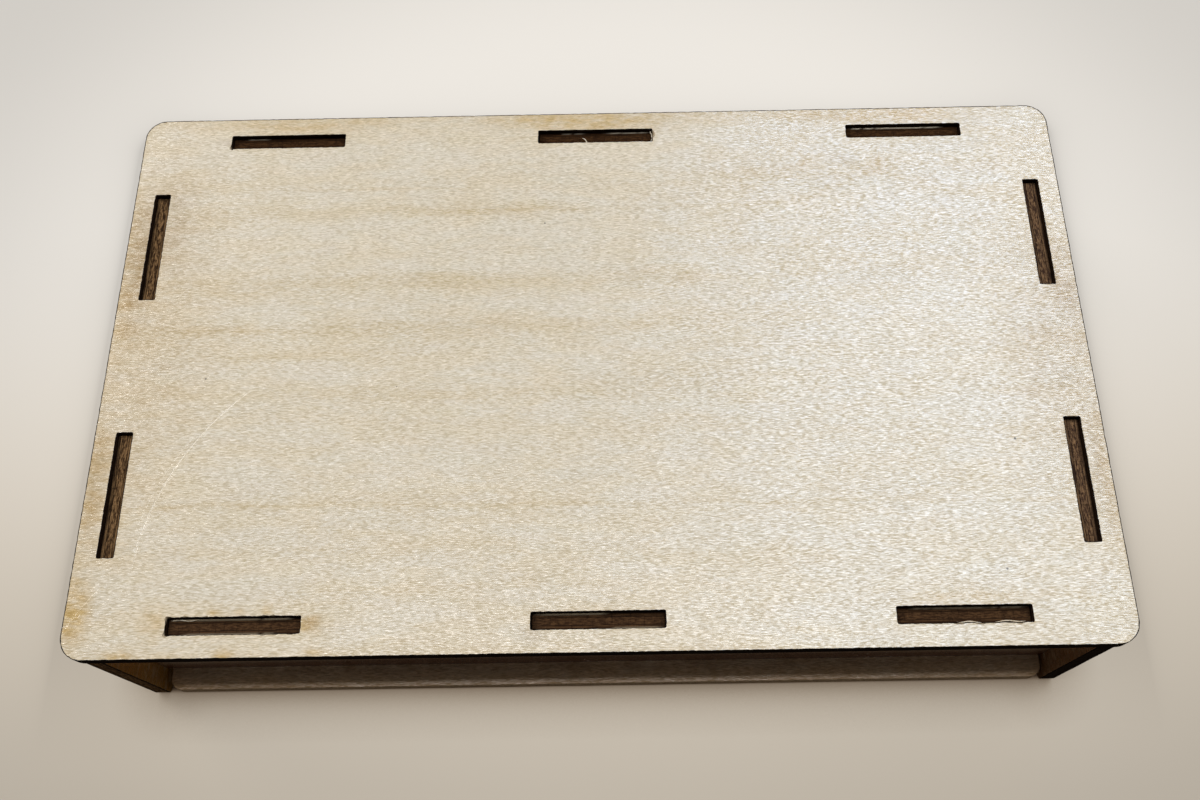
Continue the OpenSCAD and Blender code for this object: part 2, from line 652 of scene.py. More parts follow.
    def carry(self, line: np.ndarray, number: int) -> tuple[np.ndarray, np.ndarray, np.ndarray]:
        """Carries the cut profile round a line.

        A place of the cut is line + way into the wood * set back(along, depth), at that depth.

        Args:
            line: The cut's nominal line.
            number: The cut's number, which picks its ripples.

        Returns:
            The places in the sheet's own axes, their marks (rim, raw, and soot with painted shade) and the
            faces.
        """
        profile = self.profile()
        w = profile.depths()
        bitten = self.bitten(line, w)
        back = profile.set_back(line, self.seed * 100 + number, self.fray_high) + bitten
        flat = line[:, None, :] + inward(line)[:, None, :] * back[..., None]
        depth = np.broadcast_to(w, back.shape)
        points = np.concatenate([flat, depth[..., None]], 2).reshape(-1, 3)
        to_face = np.minimum(depth, self.thick - depth)
        shows_raw = np.maximum(self.raw(points), eased(bitten.ravel(), self.raw_from, self.raw_full))
        marks = np.stack([-to_face.ravel(), shows_raw, self.soot(points)], 1)
        i, j = np.meshgrid(np.arange(len(line)), np.arange(len(w) - 1), indexing="ij")
        here, there = i * len(w) + j, (i + 1) % len(line) * len(w) + j
        return points, marks, np.stack([here, there, there + 1, here + 1], 2).reshape(-1, 4)

    def stained(self, places: np.ndarray, rim: np.ndarray) -> dict[Mark, np.ndarray]:
        """The marks of the stains, and the toast that lies beside every cut.

        Args:
            places: Places in the sheet's own axes.
            rim: How far each is from the nearest cut.

        Returns:
            The values of the three kinds of stain.
        """
        is_high = places[:, 2] > self.thick / 2
        smoke = np.where(is_high, self.smoke_high, self.smoke_low)
        found = {mark: np.zeros(len(places)) for mark in (Mark.TOAST, Mark.GRIME, Mark.SMOKE)}
        found[Mark.TOAST] = smoke * np.exp(-np.maximum(rim, 0) / self.smoke_reach)
        for stain in self.stains:
            found[stain.mark] = found[stain.mark] + stain.at(places[:, :2]) * (is_high == stain.high_face)
        return found

    def build(self) -> bpy.types.Object:
        """Carries the cut profile round every line, closes both faces and dresses the sheet.

        Returns:
            The finished piece, riding on its body.
        """
        edges = self.cut_lines()
        across = len(self.profile().depths())
        carried = [self.carry(line, number) for number, line in enumerate(edges)]
        starts = np.cumsum([0] + [len(points) for points, _, _ in carried])
        cut = np.concatenate([points for points, _, _ in carried])
        faces = [np.concatenate([quads + start for (_, _, quads), start in zip(carried, starts)])]
        count, fills = len(cut), []
        for level, up in ((0.0, False), (self.thick, True)):
            ends = [np.arange(start, stop, across) + up * (across - 1)
                    for start, stop in zip(starts, starts[1:])]
            added, triangles = self.face([cut[end, :2] for end in ends], edges)
            numbers = np.concatenate([*ends, count + np.arange(len(added))])
            faces.append(numbers[triangles] if up else numbers[triangles][:, ::-1])
            fills.append(np.column_stack([added, np.full(len(added), level)]))
            count += len(added)
        own = np.concatenate([cut, *fills])
        cut_marks = np.concatenate([marks for _, marks, _ in carried])
        rim, raw, soot = np.concatenate([cut_marks, np.zeros((count - len(cut), 3))]).T
        rim[len(cut):] = np.minimum(self.to_cuts(own[len(cut):, :2]), self.rim_far)
        marks = {Mark.RIM: rim, Mark.RAW: raw, Mark.SOOT: soot, Mark.SINGE: self.singe(own),
                 **self.stained(own, rim)}
        box = np.empty_like(own)
        box[:, list(self.stance.value)] = own + (0, 0, self.low[2])
        if self.stance.turns_over:
            faces = [rows[:, ::-1] for rows in faces]
        piece = put_mesh(f"{self.node}_sheet", box, faces, [True, False, False], marks)
        piece.data.materials.append(self.finish.face_material(f"{self.node}_face", self.stance, self.seed))
        piece.data.materials.append(self.finish.cut_material(f"{self.node}_cut", self.stance, self.seed))
        on_cut = np.repeat([1, 0, 0], [len(rows) for rows in faces])
        piece.data.polygons.foreach_set("material_index", on_cut)
        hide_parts(self.node)
        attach(piece, self.body.value)
        LOG.info("%s: %d faces", piece.name, len(piece.data.polygons))
        return piece


@dataclass
class SlottedPanel(PlySheet):
    """The big panel on top, with ten slots that the walls' tabs come up through."""

    corner: float = 4.5
    front_soot_and_shade: float = 0.85
    soot_band: float = 1.0
    soot_fade: float = 0.8
    singe_band: tuple[float, float] = (-2.0, -1.0)
    slot_singe: float = 0.45
    slot_singe_half: float = 2.6

    def outline(self) -> Outline:
        """A rectangle with round corners."""
        return Outline.rectangle(self.low, self.high, self.corner, self.corner)

    def holes(self) -> list[Outline]:
        """Three slots along the front and the back, and two along each side.

        Returns:
            The ten slots, those of the long edges first.
        """
        long, wide = self.joints.slot_long, self.joints.slot_wide
        out_u, out_v = self.high[:2] - self.joints.set_in
        long_slots = [Outline.slot(u, v, long, wide)
                      for u in self.joints.long_places for v in (-out_v, out_v)]
        short_slots = [Outline.slot(u, v, wide, long)
                       for u in (-out_u, out_u) for v in self.joints.short_places]
        return long_slots + short_slots

    def soot(self, places: np.ndarray) -> np.ndarray:
        """The front edge, facing away from the lamps, is made blackest: char and painted shade."""
        return self.front_soot_and_shade * eased(self.low[1] + self.soot_band - places[:, 1], 0.0, self.soot_fade)

    def singe(self, places: np.ndarray) -> np.ndarray:
        """The outer edge is charred widest at the sides and the back, and then the side slots.

        Args:
            places: Places in the sheet's own axes.

        Returns:
            One value per place: 1 along the edge, slot_singe round the side slots.
        """
        out_u = np.abs(places[:, 0]) - self.high[0]
        out_v = places[:, 1] - self.high[1]
        outer = np.maximum(eased(out_u, *self.singe_band), eased(out_v, *self.singe_band))
        beside = np.abs(out_u + self.joints.set_in) < self.slot_singe_half
        at_slot = beside & (np.abs(places[:, 1]) < self.joints.short_pitch)
        return np.maximum(outer, self.slot_singe * at_slot)


@dataclass
class HingedPanel(PlySheet):
    """The flat panel between the side walls, rounded at the front and nearly square behind."""

    corner: float = 2.5
    back_corner: float = 1.5

    def outline(self) -> Outline:
        """A rectangle with its own rounds at the front and the back."""
        return Outline.rectangle(self.low, self.high, self.corner, self.back_corner)


@dataclass
class WallSheet(PlySheet):
    """A wall with tabs along its upper edge, whose ends show in the slotted panel's slots."""

    corner: float = 0.3
    base: float = 0.08
    fray: float = 0.05
    end_band: float = 0.2
    fibres: tuple[Fibre, ...] = ()

    @property
    def tabs(self) -> tuple[float, ...]:
        """Where the tabs stand along the upper edge."""
        return self.joints.long_places

    def top_edge(self, right: float, left: float) -> list[Corner]:
        """The corners along the upper edge, from right to left, up and down round each tab.

        Args:
            right: Where the edge starts.
            left: Where it ends.

        Returns:
            The corners, each with its round: small at a tab's end and smaller at its base.
        """
        r, b = self.corner, self.base
        top = self.high[1]
        low, half = top - self.joints.tab_out, (self.joints.slot_long - self.joints.gap) / 2
        line = [(right, low, r)]
        for u in reversed(self.tabs):
            line += [(u + half, low, b), (u + half, top, r), (u - half, top, r), (u - half, low, b)]
        return line + [(left, low, r)]

    def profile(self) -> CutProfile:
        """A finer fray than the panels', so that the tabs' corners stay whole."""
        return CutProfile(self.thick, fray=self.fray)

    def raw(self, places: np.ndarray) -> np.ndarray:
        """Broken lines of pale fibre along the rims of the tabs' ends.

        Args:
            places: Places on the sheet's cuts, in its own axes.

        Returns:
            How pale each is, 0 away from the tabs' ends.
        """
        on_end = places[:, 1] > self.high[1] - self.end_band
        pale = (fibre.at(places, self.thick, self.seed) * on_end for fibre in self.fibres)
        return sum(pale, np.zeros(len(places)))


@dataclass
class LongWall(WallSheet):
    """The front or the back wall, with a tab at each end through a side wall."""

    def outline(self) -> Outline:
        """Round the wall anticlockwise from its lower left corner.

        Returns:
            The line, with the three tabs above and the two at the ends.
        """
        r, b = self.corner, self.base
        (a, low), (c, high) = self.low[:2], self.high[:2]
        left, right = a + self.joints.tab_out, c - self.joints.tab_out
        middle = (low + high - self.joints.tab_out) / 2
        half = (self.joints.end_slot_long - self.joints.gap) / 2
        up, down = middle + half, middle - half
        return Outline(((left, low, r), (right, low, r),
                        (right, down, b), (c, down, r), (c, up, r), (right, up, b),
                        *self.top_edge(right, left),
                        (left, up, b), (a, up, r), (a, down, r), (left, down, b)))


@dataclass
class SideWall(WallSheet):
    """A side wall: it runs past the long walls, takes their end tabs, and holds a hinge pin."""

    front_corner: float = 1.5
    back_corner: float = 4.5
    bore: float = 0.8
    pin_at: tuple[float, float] = (56.05, 3.0)
    front_soot_and_shade: float = 0.6
    soot_band: float = 1.5
    soot_fade: float = 1.0

    @property
    def tabs(self) -> tuple[float, ...]:
        """Where the tabs stand along the upper edge."""
        return self.joints.short_places

    def outline(self) -> Outline:
        """Round the wall anticlockwise from its lower front corner."""
        a, low, c = self.low[0], self.low[1], self.high[0]
        return Outline(((a, low, self.front_corner), (c, low, self.back_corner), *self.top_edge(c, a)))

    def holes(self) -> list[Outline]:
        """The slots for the long walls' end tabs, and the pin's bore.

        Returns:
            The front slot, the back slot and the bore.
        """
        joints, (c, high) = self.joints, self.high[:2]
        middle = (high - joints.tab_out + joints.panel_inset + joints.ply) / 2
        slots = [Outline.slot(u, middle, joints.slot_wide, joints.end_slot_long)
                 for u in (joints.set_in - c, c - joints.set_in)]
        return slots + [Outline.bore(*self.pin_at, self.bore)]

    def soot(self, places: np.ndarray) -> np.ndarray:
        """The front edge, facing away from the lamps, is made blackest: char and painted shade."""
        return self.front_soot_and_shade * eased(self.low[0] + self.soot_band - places[:, 0], 0.0, self.soot_fade)


# Writing shader nodes


class Sketch:
    """Writes a node tree with few words."""

    def __init__(self, tree: bpy.types.NodeTree) -> None:
        """Starts on a tree, which may already hold nodes."""
        self.tree = tree

    @classmethod
    def on_blank(cls, owner: bpy.types.Material | bpy.types.World) -> "Sketch":
        """Empties the tree of a new material or world, and starts on it."""
        owner.use_nodes = True
        owner.node_tree.nodes.clear()
        return cls(owner.node_tree)

    def node(self, kind: str, inputs: dict[str | int, object] | None = None,
             **settings: object) -> bpy.types.Node:
        """Adds a node.

        Args:
            kind: Its type's name.
            inputs: Values or other nodes' outputs for its inputs, by name or number.
            **settings: Its own settings, which are made first.

        Returns:
            The node.
        """
        made = self.tree.nodes.new(kind)
        for name, value in settings.items():
            setattr(made, name, value)
        for key, value in (inputs or {}).items():
            self.feed(made.inputs[key], value)
        return made

    def feed(self, socket: Socket, value: object) -> None:
        """Links an output to a socket, or sets the socket's own value.

        Args:
            socket: The input that is fed.
            value: An output, a number, a vector, or a colour without its alpha.
        """
        if isinstance(value, bpy.types.NodeSocket):
            self.tree.links.new(value, socket)
        elif isinstance(value, tuple) and len(value) == 3 and socket.type == "RGBA":
            socket.default_value = (*value, 1.0)
        else:
            socket.default_value = value

    def sum(self, operation: str, *values: object, clamp: bool = False) -> Socket:
        """A Math node.

        Args:
            operation: Its operation's name.
            *values: Numbers or outputs for its inputs, in turn.
            clamp: Whether the outcome is held in 0 to 1.

        Returns:
            Its output.
        """
        made = self.node("ShaderNodeMath", operation=operation, use_clamp=clamp)
        for socket, value in zip(made.inputs, values):
            self.feed(socket, value)
        return made.outputs[0]

    def plus(self, a: object, b: object) -> Socket:
        """One value and another."""
        return self.sum("ADD", a, b)

    def minus(self, a: object, b: object) -> Socket:
        """One value less another."""
        return self.sum("SUBTRACT", a, b)

    def times(self, a: object, b: object, clamp: bool = False) -> Socket:
        """One value times another."""
        return self.sum("MULTIPLY", a, b, clamp=clamp)

    def vector(self, operation: str, *values: object) -> Socket:
        """A Vector Math node: LENGTH and DISTANCE give a number, and the others a vector."""
        made = self.node("ShaderNodeVectorMath", dict(enumerate(values)), operation=operation)
        return made.outputs["Value" if operation in ("LENGTH", "DISTANCE") else "Vector"]

    def span(self, value: object, low: object, high: object, start: float = 0.0, end: float = 1.0) -> Socket:
        """Carries a value smoothly from low..high to start..end, and holds it there beyond."""
        inputs = {"Value": value, "From Min": low, "From Max": high, "To Min": start, "To Max": end}
        return self.node("ShaderNodeMapRange", inputs, interpolation_type="SMOOTHSTEP").outputs["Result"]

    def noise(self, vector: Socket, by: tuple[float, float, float], detail: float = 2.0,
              rough: float = 0.5, twist: float = 0.0, output: str = "Fac") -> Socket:
        """Noise on a stretched vector, about 0 to 1 with its middle at 0.5.

        Args:
            vector: The place.
            by: How many lumps there are to a millimetre, along each axis.
            detail: How many finer layers of noise are added.
            rough: How strong each is beside the one before.
            twist: How far the place is bent by noise.
            output: "Fac" for one value or "Color" for three.

        Returns:
            The noise.
        """
        inputs = {"Vector": self.vector("MULTIPLY", vector, by), "Scale": 1.0, "Detail": detail,
                  "Roughness": rough, "Distortion": twist}
        return self.node("ShaderNodeTexNoise", inputs).outputs[output]

    def blend(self, share: object, a: object, b: object) -> Socket:
        """Mixes two values."""
        return self.node("ShaderNodeMix", {0: share, 2: a, 3: b}, data_type="FLOAT").outputs[0]

    def mix(self, share: object, a: object, b: object, blend: str = "MIX") -> Socket:
        """Mixes two colours."""
        made = self.node("ShaderNodeMix", {0: share, 6: a, 7: b}, data_type="RGBA", blend_type=blend)
        return made.outputs[2]

    def veil(self, share: object, colour: Socket, veil: Colour) -> Socket:
        """Lays a colour over another as a stain does, by multiplying the two."""
        return self.mix(share, colour, self.mix(1.0, colour, veil, "MULTIPLY"))

    def split(self, vector: Socket) -> tuple[Socket, Socket, Socket]:
        """The three parts of a vector."""
        return tuple(self.node("ShaderNodeSeparateXYZ", {0: vector}).outputs)

    def join(self, x: object, y: object, z: object) -> Socket:
        """A vector of three parts."""
        return self.node("ShaderNodeCombineXYZ", {0: x, 1: y, 2: z}).outputs[0]

    def place(self) -> Socket:
        """The place on the object, in millimetres."""
        where = self.node("ShaderNodeTexCoord").outputs["Object"]
        return self.vector("MULTIPLY", where, (1 / MM,) * 3)

    def mark(self, mark: Mark) -> Socket:
        """A value that the mesh holds at its vertices."""
        return self.node("ShaderNodeAttribute", attribute_name=mark.value).outputs["Fac"]

    def bump(self, height: Socket, strength: float, depth: float) -> Socket:
        """A normal for a height whose full range is a depth in millimetres."""
        inputs = {"Height": height, "Strength": strength, "Distance": depth * MM}
        return self.node("ShaderNodeBump", inputs).outputs[0]

    def end(self, shader: bpy.types.Node) -> None:
        """Makes a shader the surface of the material."""
        self.node("ShaderNodeOutputMaterial", {"Surface": shader.outputs[0]})


class GroupMaker:
    """A shader node group that is written once and placed in any number of materials."""

    name: str = ""
    takes: tuple[tuple[str, str, object], ...] = ()
    gives: tuple[tuple[str, str], ...] = ()

    def write(self, sketch: Sketch, given: dict[str, Socket]) -> dict[str, Socket]:
        """Writes the group's nodes. Each group has its own.

        Args:
            sketch: The group's tree.
            given: The group's inputs by name.

        Returns:
            What the group gives, by name.
        """
        raise NotImplementedError

    def tree(self) -> bpy.types.NodeTree:
        """The group's tree, written at its first use.

        Returns:
            The tree, with the inputs that takes lists and the outputs that gives lists.
        """
        if self.name in bpy.data.node_groups:
            return bpy.data.node_groups[self.name]
        tree = bpy.data.node_groups.new(self.name, "ShaderNodeTree")
        for name, kind, default in self.takes:
            socket = tree.interface.new_socket(name, in_out="INPUT", socket_type=f"NodeSocket{kind}")
            if default is not None:
                socket.default_value = default
        for name, kind in self.gives:
            tree.interface.new_socket(name, in_out="OUTPUT", socket_type=f"NodeSocket{kind}")
        sketch = Sketch(tree)
        given = {socket.name: socket for socket in sketch.node("NodeGroupInput").outputs if socket.name}
        end = sketch.node("NodeGroupOutput")
        for name, socket in self.write(sketch, given).items():
            sketch.feed(end.inputs[name], socket)
        return tree

    def place(self, sketch: Sketch, **values: object) -> dict[str, Socket]:
        """Places the group in a material.

        Args:
            sketch: The material's tree.
            **values: Numbers or outputs for its inputs, by name.

        Returns:
            Its outputs by name.
        """
        made = sketch.node("ShaderNodeGroup", node_tree=self.tree())
        for name, value in values.items():
            sketch.feed(made.inputs[name.replace("_", " ").capitalize()], value)
        return {socket.name: socket for socket in made.outputs}


class VeneerGrain(GroupMaker):
    """The figure of a rotary-cut birch veneer, on a vector in millimetres with u along the grain."""

    name = "veneer_grain"
    takes = (("Vector", "Vector", None),)
    gives = (("Band", "Float"), ("Line", "Float"), ("Fleck", "Float"), ("Spark", "Float"),
             ("Tint", "Float"), ("Hue", "Color"), ("Blotch", "Float"), ("Cloud", "Float"),
             ("Silk", "Float"), ("Pore", "Float"))

    def write(self, sketch: Sketch, given: dict[str, Socket]) -> dict[str, Socket]:
        """Bands and lines of growth wander together; flecks, silk and pores lie over them.

        Args:
            sketch: The group's tree.
            given: The vector.

        Returns:
            One kind of figure for each output, from the broad bands to the fine pores.
        """
        vector = given["Vector"]
        u, v, w = sketch.split(vector)
        slow = sketch.noise(vector, (0.018, 0.05, 0.05), 2.0)
        quick = sketch.noise(vector, (0.35, 0.8, 0.8), 1.0)
        shift = sketch.plus(sketch.times(sketch.minus(slow, 0.5), 7.0),
                            sketch.times(sketch.minus(quick, 0.5), 0.4))
        wandered = sketch.join(u, sketch.plus(v, shift), w)
        return {
            "Band": sketch.noise(wandered, (0.006, 0.16, 0.16), 3.0, 0.55),
            "Line": sketch.noise(wandered, (0.02, 1.1, 1.1), 2.0, 0.6),
            "Fleck": sketch.noise(wandered, (0.8, 4.9, 4.9), 0.0, twist=0.75),
            "Spark": sketch.noise(vector, (0.9, 5.0, 5.0), 0.0, twist=0.75),
            "Tint": sketch.noise(wandered, (0.07, 0.22, 0.22), 4.0, 0.6, 0.3),
            "Hue": sketch.noise(wandered, (0.12, 0.35, 0.35), 4.0, 0.7, output="Color"),
            "Blotch": sketch.noise(wandered, (0.05, 0.33, 0.33), 3.0, 0.65, 0.2),
            "Cloud": sketch.noise(vector, (0.05, 0.09, 0.09), 3.0, 0.6),
            "Silk": sketch.noise(vector, (0.20, 0.035, 0.05), 2.0, 0.5),
            "Pore": sketch.span(sketch.noise(wandered, (0.9, 9.0, 9.0), 1.0), 0.66, 0.78),
        }


class GrowthLine(GroupMaker):
    """One tan line of growth: it may slope, and may rise over a hump as cathedral figure does."""

    name = "growth_line"
    takes = (("Vector", "Vector", None), ("Place", "Float", 0.0), ("Slope", "Float", 0.0),
             ("Hump", "Float", 0.0), ("Hump at", "Float", 0.0), ("Hump half", "Float", 10.0),
             ("Width", "Float", 1.0), ("Start", "Float", -90.0), ("End", "Float", 90.0))
    gives = (("Mask", "Float"),)
    fade: float = 14.0

    def write(self, sketch: Sketch, given: dict[str, Socket]) -> dict[str, Socket]:
        """A bell over the distance from v = place + slope * u + hump * bell(u), between two ends.

        The hump's bell is exp(-|d|^1.5), with d the distance from its top in half widths, and
        the line's is exp(-d^2), with d the distance from its middle in widths.

        Args:
            sketch: The group's tree.
            given: The vector and the line's sizes.

        Returns:
            The line's mask.
        """
        u, v, _ = sketch.split(given["Vector"])
        lean = sketch.sum("MULTIPLY_ADD", u, given["Slope"], given["Place"])
        out = sketch.sum("DIVIDE", sketch.minus(u, given["Hump at"]), given["Hump half"])
        out = sketch.sum("POWER", sketch.sum("ABSOLUTE", out), 1.5)
        bell = sketch.sum("EXPONENT", sketch.times(out, -1.0))
        centre = sketch.sum("MULTIPLY_ADD", given["Hump"], bell, lean)
        off = sketch.sum("DIVIDE", sketch.minus(v, centre), given["Width"])
        line = sketch.sum("EXPONENT", sketch.times(sketch.times(off, off), -1.0))
        begins = sketch.span(u, given["Start"], sketch.plus(given["Start"], self.fade))
        stops = sketch.span(u, sketch.minus(given["End"], self.fade), given["End"], 1.0, 0.0)
        return {"Mask": sketch.times(line, sketch.times(begins, stops))}


class Scorch(GroupMaker):
    """What the laser did to the wood beside a cut: a thin char and a brown toast."""

    name = "scorch"
    takes = (("Vector", "Vector", None), ("Rim", "Float", 8.0), ("Singe", "Float", 0.0),
             ("Toast", "Float", 0.0), ("Grime", "Float", 0.0))
    gives = (("Char", "Float"), ("Toast", "Float"), ("Grime", "Float"))
    least_reach: float = 0.04
    most_reach: float = 0.2
    singed_reach: float = 0.16

    def write(self, sketch: Sketch, given: dict[str, Socket]) -> dict[str, Socket]:
        """The char's reach wavers along the cut, and the toast is broken up by the grain.

        Args:
            sketch: The group's tree.
            given: The vector and the sheet's marks.

        Returns:
            How charred, how toasted and how grimy a place is.
        """
        waver = sketch.noise(given["Vector"], (1.4, 1.4, 1.4), 3.0, 0.6)
        reach = sketch.span(waver, 0.25, 0.75, self.least_reach, self.most_reach)
        reach = sketch.sum("MULTIPLY_ADD", given["Singe"], self.singed_reach, reach)
        char = sketch.span(given["Rim"], sketch.times(reach, 0.4), reach, 1.0, 0.0)
        patchy = sketch.noise(given["Vector"], (0.25, 0.6, 0.6), 3.0, 0.6)
        broken = sketch.span(patchy, 0.2, 0.75, 0.35, 1.25)
        return {"Char": char, "Toast": sketch.times(given["Toast"], broken, clamp=True),
                "Grime": sketch.times(given["Grime"], broken, clamp=True)}


class CutWood(GroupMaker):
    """A laser-cut edge of three-ply: long grain in the face plies and end grain in the core,
    on a vector in millimetres with w from 0 at the low face."""

    name = "cut_wood"
    takes = (("Vector", "Vector", None), ("Depth", "Float", 0.0))
    gives = (("Grain", "Float"), ("Glue", "Float"), ("Scour", "Float"))

    def write(self, sketch: Sketch, given: dict[str, Socket]) -> dict[str, Socket]:
        """The core is where the depth passes the glue line, and its grain runs along v.

        Args:
            sketch: The group's tree.
            given: The vector and the depth under the nearer face.

        Returns:
            The grain of the ply at hand, the glue line, and the scour marks of the beam.
        """
        vector, depth = given["Vector"], given["Depth"]
        core = sketch.span(depth, 0.70, 0.80)
        glue = sketch.times(sketch.span(depth, 0.66, 0.74), sketch.span(depth, 0.78, 0.88, 1.0, 0.0))
        faces = sketch.noise(vector, (0.22, 3.0, 3.0), 3.0, 0.65, 0.3)
        middle = sketch.noise(vector, (0.8, 0.5, 3.4), 3.0, 0.65, 0.4)
        scour = sketch.noise(vector, (3.2, 3.2, 0.5), 2.0, 0.6)
        return {"Grain": sketch.blend(core, faces, middle), "Glue": glue, "Scour": scour}


class ArcScratch(GroupMaker):
    """A thin scratch along the left half of a circle, between two heights across the grain."""

    name = "arc_scratch"
    takes = (("Vector", "Vector", None), ("Centre", "Vector", None), ("Radius", "Float", 10.0),
             ("Width", "Float", 0.12), ("Low", "Float", 0.0), ("High", "Float", 1.0))
    gives = (("Mask", "Float"),)
    fade: float = 4.0

    def write(self, sketch: Sketch, given: dict[str, Socket]) -> dict[str, Socket]:
        """Full where the distance to the centre is the radius, give or take the width.

        Args:
            sketch: The group's tree.
            given: The vector and the arc's sizes.

        Returns:
            The scratch's mask.
        """
        u, v, _ = sketch.split(given["Vector"])
        away = sketch.vector("DISTANCE", sketch.join(u, v, 0.0), given["Centre"])
        off = sketch.sum("ABSOLUTE", sketch.minus(away, given["Radius"]))
        line = sketch.span(off, sketch.times(given["Width"], 0.4), given["Width"], 1.0, 0.0)
        above = sketch.span(v, given["Low"], sketch.plus(given["Low"], self.fade))
        below = sketch.span(v, sketch.minus(given["High"], self.fade), given["High"], 1.0, 0.0)
        broken = sketch.span(sketch.noise(given["Vector"], (0.9, 0.9, 0.9), 2.0), 0.35, 0.55, 0.25, 1.0)
        left_of = sketch.sum("LESS_THAN", u, sketch.split(given["Centre"])[0])
        ends = sketch.times(sketch.times(above, below), left_of)
        return {"Mask": sketch.times(sketch.times(line, ends), broken)}


@dataclass(frozen=True)
class Streak:
    """A line of growth that the veneer shows at a known place."""

    place: float
    width: float
    strength: float
    slope: float = 0.0
    start: float = -104.0
    end: float = 104.0
    hump: float = 0.0
    hump_at: float = 0.0
    hump_half: float = 10.0

    def mask(self, sketch: Sketch, place: Socket) -> Socket:
        """Where the line shows, at a place in the sheet's own axes."""
        return GrowthLine().place(
            sketch, vector=place, place=self.place, slope=self.slope, hump=self.hump, hump_at=self.hump_at,
            hump_half=self.hump_half, width=self.width, start=self.start, end=self.end)["Mask"]


@dataclass(frozen=True)
class Scratch:
    """A pale scratch along an arc."""

    centre: tuple[float, float]
    radius: float
    low: float
    high: float
    strength: float
    width: float = 0.11

    def mask(self, sketch: Sketch, place: Socket) -> Socket:
        """How strongly the scratch shows, at a place in the sheet's own axes."""
        shown = ArcScratch().place(sketch, vector=place, centre=(*self.centre, 0.0), radius=self.radius,
                                   width=self.width, low=self.low, high=self.high)["Mask"]
        return sketch.times(shown, self.strength)


@dataclass(frozen=True)
class Speck:
    """A small dark knot of bark or dirt."""

    u: float
    v: float
    radius: float
    strength: float

    def mask(self, sketch: Sketch, u: Socket, v: Socket) -> Socket:
        """How strongly the speck shows, at a place in the sheet's own plane."""
        away = sketch.vector("DISTANCE", sketch.join(u, v, 0.0), (self.u, self.v, 0.0))
        return sketch.span(away, 0.4 * self.radius, self.radius, self.strength, 0.0)


